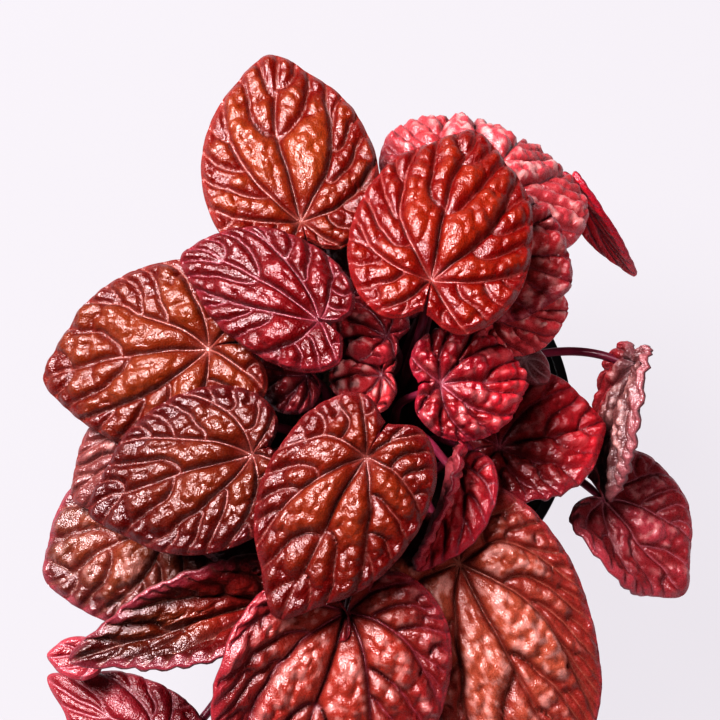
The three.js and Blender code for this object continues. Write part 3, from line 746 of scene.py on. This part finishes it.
def read_grid(grid, row, column):
    """What a grid holds between its points: blended from the four points round a place, by how
    near each is, across and then along."""
    j = np.clip(row.astype(int), 0, grid.shape[0] - 2)
    i = np.clip(column.astype(int), 0, grid.shape[1] - 2)
    deep = row.shape + (1,) * (grid.ndim - 2)
    v = (row - j).reshape(deep)
    u = (column - i).reshape(deep)
    low = grid[j, i] * (1 - u) + grid[j, i + 1] * u
    high = grid[j + 1, i] * (1 - u) + grid[j + 1, i + 1] * u
    return low * (1 - v) + high * v


def swollen(leaf, veins, cell, border=3, steps=500):
    """How far the flesh swells between the veins, on a raster over the flat blade: a skin that is
    free inside the blade, and held at the veins and past the edge. Gives a function for that
    rise, the distance to the nearest vein and that vein's order, at any points of the flat
    blade."""
    sector = np.linspace(-HALF_SECTORS, HALF_SECTORS, 1400)
    rim_x, rim_y = laid_flat(leaf, sector, np.ones_like(sector))
    low = np.array([rim_x.min(), rim_y.min()]) - border
    nx, ny = ((np.array([rim_x.max(), rim_y.max()]) + border - low) / cell).astype(int) + 2

    def cells(x, y):
        return np.round((y - low[1]) / cell).astype(int), np.round((x - low[0]) / cell).astype(int)

    x, y = np.meshgrid(low[0] + cell * np.arange(nx), low[1] + cell * np.arange(ny))
    sector, run = np.meshgrid(np.linspace(-HALF_SECTORS, HALF_SECTORS, 900), np.linspace(0, 1, 400))
    hold = np.full((ny, nx), EDGE_HOLD)
    hold[cells(*laid_flat(leaf, sector, run))] = 0
    samples = []
    for _, sector, run in veins:
        index = np.arange(VEIN_STEPS)
        fine = np.linspace(0, VEIN_STEPS - 1, steps)
        place = laid_flat(leaf, np.interp(fine, index, sector), np.interp(fine, index, run))
        samples.append(np.stack(place, -1))
    samples = np.concatenate(samples)
    sample_order = np.repeat([order for order, _, _ in veins], steps)
    at = cells(samples[:, 0], samples[:, 1])
    np.maximum.at(hold, at, np.array(VEIN_HOLD)[sample_order])
    closest = nearest_samples(x, y, at, samples)

    pressure = 1
    for seed, width, push in PRESSURE_LUMPS:
        u = x / width + 2 * AWAY
        v = y / width + 2 * AWAY
        pressure = pressure + push * smooth_noise(seed + leaf.number, u, v)
    skin = blown_up(np.maximum(LEAST_PRESSURE, pressure) * cell**2, hold)

    def look_up(at_x, at_y):
        level = read_grid(skin, (at_y - low[1]) / cell, (at_x - low[0]) / cell)
        vein = closest[cells(at_x, at_y)]
        away = np.hypot(at_x - samples[vein, 0], at_y - samples[vein, 1])
        return level, np.where(vein < 0, np.inf, away), sample_order[vein]

    return look_up


def bell(distance, reach):
    """1 at no distance, and falling to nothing past the reach: exp(-(distance / reach)^2)."""
    return np.exp(-((distance / reach) ** 2))


def funnel_depth(leaf, run):
    """How far the blade sinks round its stalk, by a bell curve of the run."""
    return FUNNEL_DEPTH * leaf.length * bell(run, FUNNEL_RADIUS)


def edge_distance(run, x, y):
    """How far a point of the flat blade is from the edge, straight on from the stalk."""
    return (1 - run) * np.hypot(x, y) / run


def pillow_height(leaf, run, x, y, skin, away, order):
    """Height of the pillows over the blade's middle: a low power of the skin's rise, which makes
    them round, levelled off at the highest, creased all over and most so near the edge, and cut
    down to the blade along each vein. A young leaf has domes on top of that."""
    creasing = leaf.traits["lumps"] * (0.6 + 0.4 * rise(run, 0.4, 0.9))
    lumpy = PILLOW_TOP
    for seed, width, depth in PILLOW_CREASES:
        creases = cobbles(seed + leaf.number, x / width + AWAY, y / width + AWAY) ** 2
        lumpy = lumpy - depth * creasing * creases
    lumpy = lumpy * (1 - MARGIN_DROP * bell(edge_distance(run, x, y), MARGIN))
    furrow = 1 - np.array(VEIN_DEPTH)[order] * bell(away, FURROW_WIDTH)
    high = HIGHEST * np.tanh(SWELL * skin**ROUNDNESS / HIGHEST) * lumpy * furrow
    crinkles = cobbles(90 + leaf.number, x / CRINKLE_WIDTH + AWAY, y / CRINKLE_WIDTH + AWAY)
    domes = np.maximum(0, 0.6 - crinkles**2) * rise(run, 0.08, 0.35) * furrow
    return high * leaf.traits["relief"] + leaf.traits["pucker"] * domes


def colour_marks(leaf, run, x, y, high, away, order):
    """What the material reads, from 0 to 1 over the upper face: how full a pillow is, which also
    darkens the furrow flanks partly as painted shade, how near the edge and the veins are, the star
    where the veins meet, the painted glow of light shining through, patches of painted sheen on
    full pillows, brown in the middle, and painted shade over the whole leaf."""
    way = leaf.traits["lit_way"]
    lit_share = x / leaf.length * way[0] + 2 * y / leaf.width * way[1] - leaf.traits["lit_from"]
    fullness = np.minimum(1, high / FULL_SWELL / leaf.traits["relief"])
    patches = smooth_noise(950 + leaf.number, x / SHEEN_PATCH + AWAY, y / SHEEN_PATCH + AWAY)
    sheen = rise(patches, 0.05, 0.45) * rise(fullness, 0.4, 0.9)
    return {
        "swell": fullness,
        "edge": bell(edge_distance(run, x, y), EDGE_REACH),
        "vein": np.array(VEIN_SHOW)[order] * bell(away, VEIN_REACH),
        "star": bell(np.hypot(x, y), STAR_REACH),
        # painted light: the red glow of light shining through the blade
        "lit": leaf.traits["lit"] * rise(lit_share, 0, 0.5) * (0.45 + 0.55 * fullness),
        # painted sheen: pale highlight patches on the full crests
        "pale": leaf.traits["pale"] * (0.1 + 0.9 * sheen),
        "warm": leaf.traits["warm"] * (1 - rise(run, 0.45, 0.9)),
        # painted shade over the whole leaf
        "dim": np.full(run.shape, leaf.traits["dim"]),
    }


def blade_grids(leaf, veins):
    """One blade as grids over sector in columns and run in rings: the runs, the upper points, the
    lower points, which follow the lowest of the nine heights round each point, and the marks."""
    per_sector = next(columns for longer, columns in DETAIL if leaf.length > longer)
    if leaf.number in HIDDEN_LEAVES:
        per_sector = HIDDEN_DETAIL
    columns = int(2 * HALF_SECTORS) * per_sector
    rings = 2 * int(per_sector * RINGS_TO_COLUMNS)
    sector = np.linspace(-HALF_SECTORS, HALF_SECTORS, columns + 1)[None, :]
    run = (np.arange(1, rings + 1)[:, None] / rings) ** RING_CROWDING
    sector, run = np.broadcast_arrays(sector, run)
    x, y = laid_flat(leaf, sector, run)
    cell = USUAL_CELL if leaf.length > SMALL_BLADE else FINE_CELL
    skin, away, order = swollen(leaf, veins, cell)(x, y)
    high = pillow_height(leaf, run, x, y, skin, away, order)
    wave = EDGE_WAVE * smooth_noise(800 + leaf.number, sector * 1.7 + AWAY, run * 0 + 1.5)
    wave = wave * rise(run, 0.6, 1) - EDGE_ROLL * rise(run, 0.9, 1) ** 2
    sheet = wave - funnel_depth(leaf, run)
    upper = on_blade(leaf, x, y, high + sheet + UPPER_FACE)

    around = np.pad(high, 1, mode="edge")
    windows = np.lib.stride_tricks.sliding_window_view(around, (3, 3))
    lower = on_blade(leaf, x, y, windows.min(axis=(2, 3)) + sheet + LOWER_FACE)
    return run, upper, lower, colour_marks(leaf, run, x, y, high, away, order)


def unit(vectors):
    """Vectors in rows, brought to length 1."""
    return vectors / np.maximum(np.linalg.norm(vectors, axis=-1, keepdims=True), 1e-9)


def evened(even, length, rows):
    """Rows of three values that stand at those lengths along a path, read at even lengths."""
    return np.stack([np.interp(even, length, rows[:, k]) for k in range(3)], -1)


def vein_cords(veins, run, upper, step=0.8):
    """Each vein as a low cord in the bottom of its furrow: a flat-topped profile of four points,
    carried along the vein's path over the grid's own surface in steps of about that length, and
    narrower on its way out."""
    rings, wide = upper.shape[:2]
    normals = unit(np.cross(np.gradient(upper, axis=0), np.gradient(upper, axis=1)))
    shapes = []
    for order, sector, out in veins:
        column = (sector + HALF_SECTORS) / (2 * HALF_SECTORS) * (wide - 1)
        ring = np.interp(out, run[:, 0], np.arange(rings))
        path = read_grid(upper, ring, column)
        length = np.concatenate([[0], np.cumsum(np.linalg.norm(np.diff(path, axis=0), axis=1))])
        even = np.linspace(0, length[-1], max(6, int(length[-1] / step)))
        middle = evened(even, length, path)
        forward = np.gradient(middle, axis=0)
        outward = evened(even, length, read_grid(normals, ring, column))
        aside = unit(np.cross(forward, outward))
        up = unit(np.cross(aside, forward))
        half = VEIN_WIDTHS[order] / 2 * (1 - CORD_THINNING * np.interp(even, length, out))[:, None]
        if order > 0:
            half = half * np.minimum(1, 0.35 + np.arange(len(even)) / 3)[:, None]
        raised = CORD_LIFT * 2 * half
        foot = CORD_FOOT * half * aside
        sunk = CORD_SUNK * up
        crest = half * aside
        profile = [middle - foot - sunk, middle - crest + raised * up,
                   middle + crest + raised * up, middle + foot - sunk]
        shapes.append((np.stack(profile, axis=1).reshape(-1, 3), [grid_quads(len(even), 4)]))
    return joined(*shapes)


def fanned_grid(centre, grid, first=0):
    """A grid of points with a fan from its first ring to a centre point that has the number
    `first`. Gives the points, the number of each grid point, and the faces."""
    rings, wide = grid.shape[:2]
    at = first + 1 + np.arange(rings * wide).reshape(rings, wide)
    fan = np.stack([np.full(wide - 1, first), at[0, :-1], at[0, 1:]], -1)
    points = np.concatenate([centre, grid.reshape(-1, 3)])
    return points, at, [fan, grid_quads(rings, wide, first=first + 1)]


def border_loop(centre, at):
    """The numbers round a fanned grid's open border: from the centre out along the first column,
    along the last ring, and back along the last column."""
    return np.concatenate([[centre], at[:, 0], at[-1, 1:], at[-2::-1, -1]])


def edge_strip(points, top_loop, low_loop):
    """A rounded strip between two loops of points, of which the upper has twice as many. Its
    middle row lies half way between them and is pushed outwards, at right angles to the loop."""
    above = points[top_loop]
    below = np.empty_like(above)
    below[::2] = points[low_loop]
    below[1::2] = (points[low_loop] + np.roll(points[low_loop], -1, axis=0)) / 2
    onward = np.roll(above, -1, axis=0) - np.roll(above, 1, axis=0)
    middle = (above + below) / 2 + EDGE_BULGE * unit(np.cross(below - above, onward))
    middle[0] = (above[0] + below[0]) / 2
    here = len(points) + np.arange(len(top_loop))
    after = np.roll(here, -1)
    even, odd, last = here[::2], here[1::2], after[1::2]
    next_low = np.roll(low_loop, -1)
    faces = [
        np.stack([top_loop, here, after, np.roll(top_loop, -1)], -1),
        np.stack([even, low_loop, odd], -1),
        np.stack([odd, low_loop, next_low], -1),
        np.stack([odd, next_low, last], -1),
    ]
    return middle, faces


def blade_piece(leaf, material):
    """The closed blade: the upper grid, every second line of the lower one, a rounded edge strip
    between them, and the vein cords. Each point of it has its marks."""
    veins = vein_network(leaf)
    run, upper, lower, marks = blade_grids(leaf, veins)
    lower = lower[1::2, ::2]
    flat = laid_flat(leaf, np.zeros(1), np.zeros(1))
    centres = [on_blade(leaf, *flat, face - funnel_depth(leaf, 0)) for face in (UPPER_FACE, LOWER_FACE)]
    top_points, top_at, top_faces = fanned_grid(centres[0], upper)
    low_points, low_at, low_faces = fanned_grid(centres[1], lower, first=len(top_points))
    points = np.concatenate([top_points, low_points])
    loops = border_loop(0, top_at), border_loop(len(top_points), low_at)
    strip, strip_faces = edge_strip(points, *loops)
    faces = [*top_faces, *(face[:, ::-1] for face in low_faces), *strip_faces]
    cords, cord_faces = vein_cords(veins, run, upper)
    points, faces = joined((np.concatenate([points, strip]), faces), (cords, cord_faces))
    piece = mesh_piece(leaf.name + "_blade", points, faces, material)

    def write(name, *values):
        attribute = piece.data.attributes.new(name, "FLOAT", "POINT")
        attribute.data.foreach_set("value", np.concatenate(values).astype(np.float32))

    def mark(name, centre=0, under=1, strip_value=0, cord_value=0):
        grid = marks[name]
        low = np.append(centre, grid[1::2, ::2]) * under
        ends = np.full(len(strip), strip_value), np.full(len(cords), cord_value)
        write(name, [centre], grid.ravel(), low, *ends)

    mark("swell", strip_value=0.1, cord_value=0.1)
    mark("edge", strip_value=1)
    mark("vein", centre=1, cord_value=1)
    mark("star", centre=1)
    mark("lit")
    mark("pale")
    mark("warm", centre=leaf.traits["warm"], under=0)
    mark("dim", centre=leaf.traits["dim"])
    others = np.zeros(len(strip) + len(cords))
    write("under", np.zeros(len(top_points)), np.ones(len(low_points)), others)
    return piece


# Colours that a leaf's marks mix in: brown flanks and crests, the painted glow of light shining
# through, painted sheen on the crests, and painted shade
WARM_FLANK = "5a0c02"
WARM_CREST = "7a3212"
SHINING = "ce2838"
PAINTED_SHEEN = "dca8a4"
SHADED = "100000"
FLECKS = (0.62, 0.5, 0.5, 1)


def waxy_skin_group():
    """Colours and bumps of every blade. In: the colours of the pillows' crests, of the furrows'
    flanks, of the edge, of the veins and of the underside. Out: colour, roughness and normal."""
    tree = bpy.data.node_groups.new("waxy_skin", "ShaderNodeTree")
    for name in ("Crest", "Flank", "Edge", "Vein", "Under"):
        tree.interface.new_socket(name, in_out="INPUT", socket_type="NodeSocketColor")
    tree.interface.new_socket("Color", in_out="OUTPUT", socket_type="NodeSocketColor")
    tree.interface.new_socket("Roughness", in_out="OUTPUT", socket_type="NodeSocketFloat")
    tree.interface.new_socket("Normal", in_out="OUTPUT", socket_type="NodeSocketVector")
    given = add_node(tree, "NodeGroupInput")
    out = add_node(tree, "NodeGroupOutput")
    link = tree.links.new
    place = add_node(tree, "ShaderNodeTexCoord")

    def read(name):
        return add_node(tree, "ShaderNodeAttribute", _attribute_name=name).outputs["Fac"]

    def mixed(factor, first, second):
        node = add_node(tree, "ShaderNodeMix", _data_type="RGBA")
        link(factor, node.inputs[0])
        link(first, node.inputs[6])
        link(second, node.inputs[7])
        return node.outputs[2]

    def noise(scale, detail, roughness):
        node = add_node(tree, "ShaderNodeTexNoise", Scale=scale, Detail=detail, Roughness=roughness)
        link(place.outputs["Object"], node.inputs["Vector"])
        return node.outputs["Fac"]

    def stretched(value, low, high, to_low=0.0, to_high=1.0):
        ends = {"From_Min": low, "From_Max": high, "To_Min": to_low, "To_Max": to_high}
        node = add_node(tree, "ShaderNodeMapRange", **ends)
        link(value, node.inputs["Value"])
        return node.outputs["Result"]

    def math(operation, first, second):
        node = add_node(tree, "ShaderNodeMath", _operation=operation)
        for at, value in enumerate((first, second)):
            if isinstance(value, (int, float)):
                node.inputs[at].default_value = value
            else:
                link(value, node.inputs[at])
        return node.outputs[0]

    def shade(hex_colour):
        node = add_node(tree, "ShaderNodeRGB")
        node.outputs[0].default_value = linear(hex_colour)
        return node.outputs[0]

    def bumped(height, distance, strength, below=None):
        node = add_node(tree, "ShaderNodeBump", Strength=strength, Distance=distance)
        link(height, node.inputs["Height"])
        if below:
            link(below, node.inputs["Normal"])
        return node.outputs["Normal"]

    def domes(scale):
        node = add_node(tree, "ShaderNodeTexVoronoi", Scale=scale)
        link(place.outputs["Object"], node.inputs["Vector"])
        return math("SUBTRACT", 1.0, node.outputs["Distance"])

    patches = noise(95, 3, 0.55)
    speckle = noise(1700, 2, 0.7)
    # crest to flank by pillow fullness and random patches: the darker flanks are partly the leaf's own
    # colour and partly painted shade in the furrows
    furrow_shade_and_patches = math("ADD", read("swell"), stretched(patches, 0.3, 0.7, -0.15, 0.15))
    colour = mixed(stretched(furrow_shade_and_patches, 0.45, 1.1), given.outputs["Flank"], given.outputs["Crest"])
    blush = math("ADD", read("edge"), stretched(patches, 0.4, 0.75, -0.15, 0.3))
    colour = mixed(stretched(blush, 0.15, 1.0, 0.0, 0.85), colour, given.outputs["Edge"])
    fleck = add_node(tree, "ShaderNodeMix", _data_type="RGBA", _blend_type="MULTIPLY")
    fleck.inputs[7].default_value = FLECKS
    link(stretched(speckle, 0.46, 0.66, 0.0, 0.6), fleck.inputs[0])
    link(colour, fleck.inputs[6])
    colour = fleck.outputs[2]
    warm = mixed(read("swell"), shade(WARM_FLANK), shade(WARM_CREST))
    colour = mixed(read("warm"), colour, warm)
    shining = shade(SHINING)
    # painted light: the red glow of light shining through the blade
    colour = mixed(read("lit"), colour, shining)
    # painted sheen: pale highlight patches on the full crests
    colour = mixed(read("pale"), colour, shade(PAINTED_SHEEN))
    # painted shade, darkening the whole leaf
    colour = mixed(read("dim"), colour, shade(SHADED))
    colour = mixed(math("MULTIPLY", read("vein"), 0.68), colour, given.outputs["Vein"])
    colour = mixed(math("MULTIPLY", read("star"), 0.45), colour, given.outputs["Vein"])
    # the underside takes the same painted glow of light shining through
    lower = mixed(read("lit"), given.outputs["Under"], shining)
    colour = mixed(read("under"), colour, lower)
    link(colour, out.inputs["Color"])

    rough = stretched(noise(2000, 2, 0.7), 0.35, 0.65, 0.2, 0.4)
    rough = math("ADD", rough, math("MULTIPLY", read("under"), 0.25))
    link(rough, out.inputs["Roughness"])

    normal = bumped(domes(2300), 0.0002, 0.6)
    normal = bumped(domes(900), 0.0002, 0.28, normal)
    link(normal, out.inputs["Normal"])
    return tree


# the flank colours are darker partly as the leaf's own colour and partly as painted shade in the furrows
FINISHES = {  # crest, flank, edge, vein, underside
    "rust": ("763012", "5a0801", "7a2620", "865048", "6c3a34"),
    "ember": ("78220a", "600302", "761618", "864440", "703834"),
    "russet": ("661f10", "500302", "681418", "7c4640", "603232"),
    "salmon": ("8a402e", "6c1208", "842630", "865246", "6e3e3a"),
    "brown": ("5c2a13", "480906", "863240", "80544a", "6a4240"),
    "scarlet": ("80081e", "660008", "8c1830", "924c5c", "74303c"),
    "crimson": ("7a1018", "5c0005", "84202c", "7c3c48", "6a2e38"),
    "rose": ("943440", "700c18", "9a3844", "96606a", "8a5058"),
    "ash_pink": ("6c4040", "4e1a1e", "82464c", "8a686c", "704a4e"),
    "maroon": ("6c0814", "4c0004", "70182a", "7c3e4c", "542a30"),
}


def leaf_skin(name, colours, group):
    """The waxy skin in one finish: glossy, a little translucent, with a pink sheen."""
    material, tree, shader = new_material(name + "_skin")
    skin = add_node(tree, "ShaderNodeGroup", _node_tree=group)
    for socket, colour in zip(("Crest", "Flank", "Edge", "Vein", "Under"), colours):
        skin.inputs[socket].default_value = linear(colour)
    tree.links.new(skin.outputs["Color"], shader.inputs["Base Color"])
    tree.links.new(skin.outputs["Roughness"], shader.inputs["Roughness"])
    tree.links.new(skin.outputs["Normal"], shader.inputs["Normal"])
    shader.inputs["Specular IOR Level"].default_value = 0.68
    shader.inputs["Specular Tint"].default_value = (1.0, 0.88, 0.91, 1)
    shader.inputs["Subsurface Weight"].default_value = 0.06
    shader.inputs["Subsurface Radius"].default_value = (1.0, 0.2, 0.15)
    shader.inputs["Subsurface Scale"].default_value = 0.0008
    return material


waxy_skin = waxy_skin_group()
skins = {name: leaf_skin(name, colours, waxy_skin) for name, colours in FINISHES.items()}
leaves = [Leaf(number, row) for number, row in ROSETTE.items()]
for leaf in leaves:
    blade = blade_piece(leaf, skins[leaf.finish])
    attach(blade, "root")
    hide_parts(leaf.name)

# ---------------------------------------------------------------- the leaf stalks
# Round, fleshy stalks, purple red and faintly streaked, a little thicker where they leave the
# soil. Each rises from the crown in one bend and meets its blade from behind.

STALK_RADIUS = 1.25
ROOT_DEPTH = 4
NECK_HEIGHT = 1.5
ARRIVAL_RUN = 0.05  # run on the midrib where the stalk meets the blade
BLUNT_END = (0.9, 0.7, 0.35)  # of the radius, at the last three circles

# How far the two control points of a stalk's curve lie up from its neck and back from its blade, as
# shares of the straight way between the two, and the direction in which it meets the blade: out
# through the upper face, towards the tip, and to the left.
USUAL_RUN = (0.5, 0.3, (0.8, 0.6, 0.0))
OTHER_RUNS = {
    4: (0.5, 0.12, (0.5, 0.8, 0.0)),
    20: (0.6, 0.5, (-0.2, 0.3, 0.9)),
    21: (0.4, 0.6, (0.1, 1.0, 0.0)),
    27: (0.9, 0.3, (0.2, 1.0, 0.0)),
}


def stalk_piece(leaf, material, sides=14, steps=40):
    """A circle carried along the stalk's path: straight up to the neck, then the Bezier curve from
    the neck to the blade. The radius shrinks by a fifth on the way, and quickly at the end, and a
    small leaf has a thinner stalk."""
    climb, bend, lean = OTHER_RUNS.get(leaf.number, USUAL_RUN)
    flat = laid_flat(leaf, np.zeros(1), np.full(1, ARRIVAL_RUN))
    end = on_blade(leaf, *flat, -funnel_depth(leaf, ARRIVAL_RUN))[0]
    arrival = unit(lean[0] * leaf.axes[2] + lean[1] * leaf.axes[0] + lean[2] * leaf.axes[1])
    neck = np.array([*leaf.root, SOIL_TOP + NECK_HEIGHT])
    reach = np.linalg.norm(neck - end)
    t = np.linspace(0, 1, steps)[:, None]
    path = (1 - t) ** 3 * neck + 3 * (1 - t) ** 2 * t * (neck + [0, 0, reach * climb])
    path = path + 3 * (1 - t) * t**2 * (end - arrival * reach * bend) + t**3 * end
    foot = neck - [0, 0, NECK_HEIGHT + ROOT_DEPTH]
    path = np.vstack([foot, path])
    tangent = unit(np.gradient(path, axis=0))
    aside = unit(np.cross(tangent, leaf.axes[1] + 0.3 * leaf.axes[0]))
    other = np.cross(tangent, aside)
    share = np.linspace(0, 1, len(path))
    radius = STALK_RADIUS * min(1, 0.55 + leaf.length / 60) * (1.06 - 0.2 * share)
    radius = radius * (1 + 0.03 * smooth_noise(900 + leaf.number, share * 9, share * 0))
    radius[-len(BLUNT_END) :] *= BLUNT_END
    turn = np.linspace(0, 2 * np.pi, sides, endpoint=False)[None, :, None]
    ring = np.cos(turn) * aside[:, None] + np.sin(turn) * other[:, None]
    points = path[:, None] + radius[:, None, None] * ring
    quads = grid_quads(len(path), sides, closed=True)
    caps = [np.arange(sides)[None], (len(path) - 1) * sides + np.arange(sides)[None, ::-1]]
    piece = mesh_piece(leaf.name + "_stalk", points.reshape(-1, 3), [quads, *caps], material)
    merge_seams(piece)
    return piece


def stalk_flesh():
    """Purple red, paler in long streaks, smooth and juicy."""
    material, tree, shader = new_material("stalk_flesh")
    place = add_node(tree, "ShaderNodeTexCoord")
    streak = add_node(tree, "ShaderNodeTexNoise", Scale=240, Detail=3, Roughness=0.6)
    squeeze = add_node(tree, "ShaderNodeMapping")
    squeeze.inputs["Scale"].default_value = (1, 1, 0.15)
    dark, light = linear("4c0f26"), linear("8a2f48")
    colour = add_node(tree, "ShaderNodeMix", _data_type="RGBA", in6=dark, in7=light)
    bump = add_node(tree, "ShaderNodeBump", Strength=0.3, Distance=0.0002)
    link = tree.links.new
    link(place.outputs["Object"], squeeze.inputs["Vector"])
    link(squeeze.outputs["Vector"], streak.inputs["Vector"])
    link(streak.outputs["Fac"], colour.inputs[0])
    link(streak.outputs["Fac"], bump.inputs["Height"])
    link(colour.outputs[2], shader.inputs["Base Color"])
    link(bump.outputs["Normal"], shader.inputs["Normal"])
    shader.inputs["Roughness"].default_value = 0.34
    shader.inputs["Subsurface Weight"].default_value = 0.1
    shader.inputs["Subsurface Radius"].default_value = (1.0, 0.2, 0.2)
    shader.inputs["Subsurface Scale"].default_value = 0.001
    return material


flesh = stalk_flesh()
for leaf in leaves:
    stalk = stalk_piece(leaf, flesh)
    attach(stalk, "root")
    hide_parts(leaf.name)

# ---------------------------------------------------------------- floor, light and camera
# A plain pale floor, one broad soft lamp high at the left behind the plant, a weaker one at the
# right, and pale light from all round.

PALE = (0.9, 0.86, 0.91, 1)  # of the floor and of the distance behind it, so that no horizon shows
GLOW = 0.66
FLOOR_GREY = (0.012, 0.012, 0.012, 1)
FLOOR_HALF = 3000
LIT = (0, 0, 0.12)  # what the lamps point at, in metres
KEY = {"place": (-0.5, 0.26, 1.0), "size": 0.7, "power": 34}
FILL = {"place": (0.6, -0.4, 0.9), "size": 0.5, "power": 5}
SKY = (0.93, 0.92, 1.0, 1)
SKY_STRENGTH = 0.03
LENS = 141.25
SENSOR = 36
CAMERA_PLACE = (0, -0.1963, 0.8247)
CAMERA_AIM = (-0.00483, 0.01427, 0.09582)

pale_floor, _, floor_shader = new_material("pale_floor")
floor_shader.inputs["Base Color"].default_value = FLOOR_GREY
floor_shader.inputs["Roughness"].default_value = 0.9
floor_shader.inputs["Emission Color"].default_value = PALE
floor_shader.inputs["Emission Strength"].default_value = GLOW
corners = FLOOR_HALF * np.array([[-1, -1, 0], [1, -1, 0], [1, 1, 0], [-1, 1, 0]])
floor = mesh_piece("floor", corners, [np.array([[0, 1, 2, 3]])], pale_floor)


def soft_lamp(name, place, size, power):
    """A round lamp of that width in metres at that place, turned towards what is to be lit."""
    light = bpy.data.lights.new(name, "AREA")
    light.shape = "DISK"
    light.size = size
    light.energy = power
    lamp = bpy.data.objects.new(name, light)
    lamp.location = place
    lamp.rotation_euler = (Vector(LIT) - Vector(place)).to_track_quat("-Z", "Y").to_euler()
    bpy.context.scene.collection.objects.link(lamp)
    return lamp


soft_lamp("key_lamp", **KEY)
fill = soft_lamp("fill_lamp", **FILL)
fill.visible_glossy = False
world = bpy.data.worlds.new("studio")
world.use_nodes = True
studio = world.node_tree
dim = studio.nodes["Background"]
dim.inputs["Color"].default_value = SKY
dim.inputs["Strength"].default_value = SKY_STRENGTH
seen = add_node(studio, "ShaderNodeBackground", Color=PALE, Strength=GLOW)
rays = add_node(studio, "ShaderNodeLightPath")
either = add_node(studio, "ShaderNodeMixShader")
studio.links.new(rays.outputs["Is Camera Ray"], either.inputs["Fac"])
studio.links.new(dim.outputs["Background"], either.inputs[1])
studio.links.new(seen.outputs["Background"], either.inputs[2])
studio.links.new(either.outputs["Shader"], studio.nodes["World Output"].inputs["Surface"])
bpy.context.scene.world = world
bpy.context.scene.view_settings.view_transform = "Standard"
bpy.context.scene.view_settings.look = "High Contrast"

camera_data = bpy.data.cameras.new("camera")
camera_data.lens = LENS
camera_data.sensor_width = SENSOR
camera = bpy.data.objects.new("camera", camera_data)
camera.location = CAMERA_PLACE
camera.rotation_euler = (Vector(CAMERA_AIM) - camera.location).to_track_quat("-Z", "Y").to_euler()
bpy.context.scene.collection.objects.link(camera)
bpy.context.scene.camera = camera
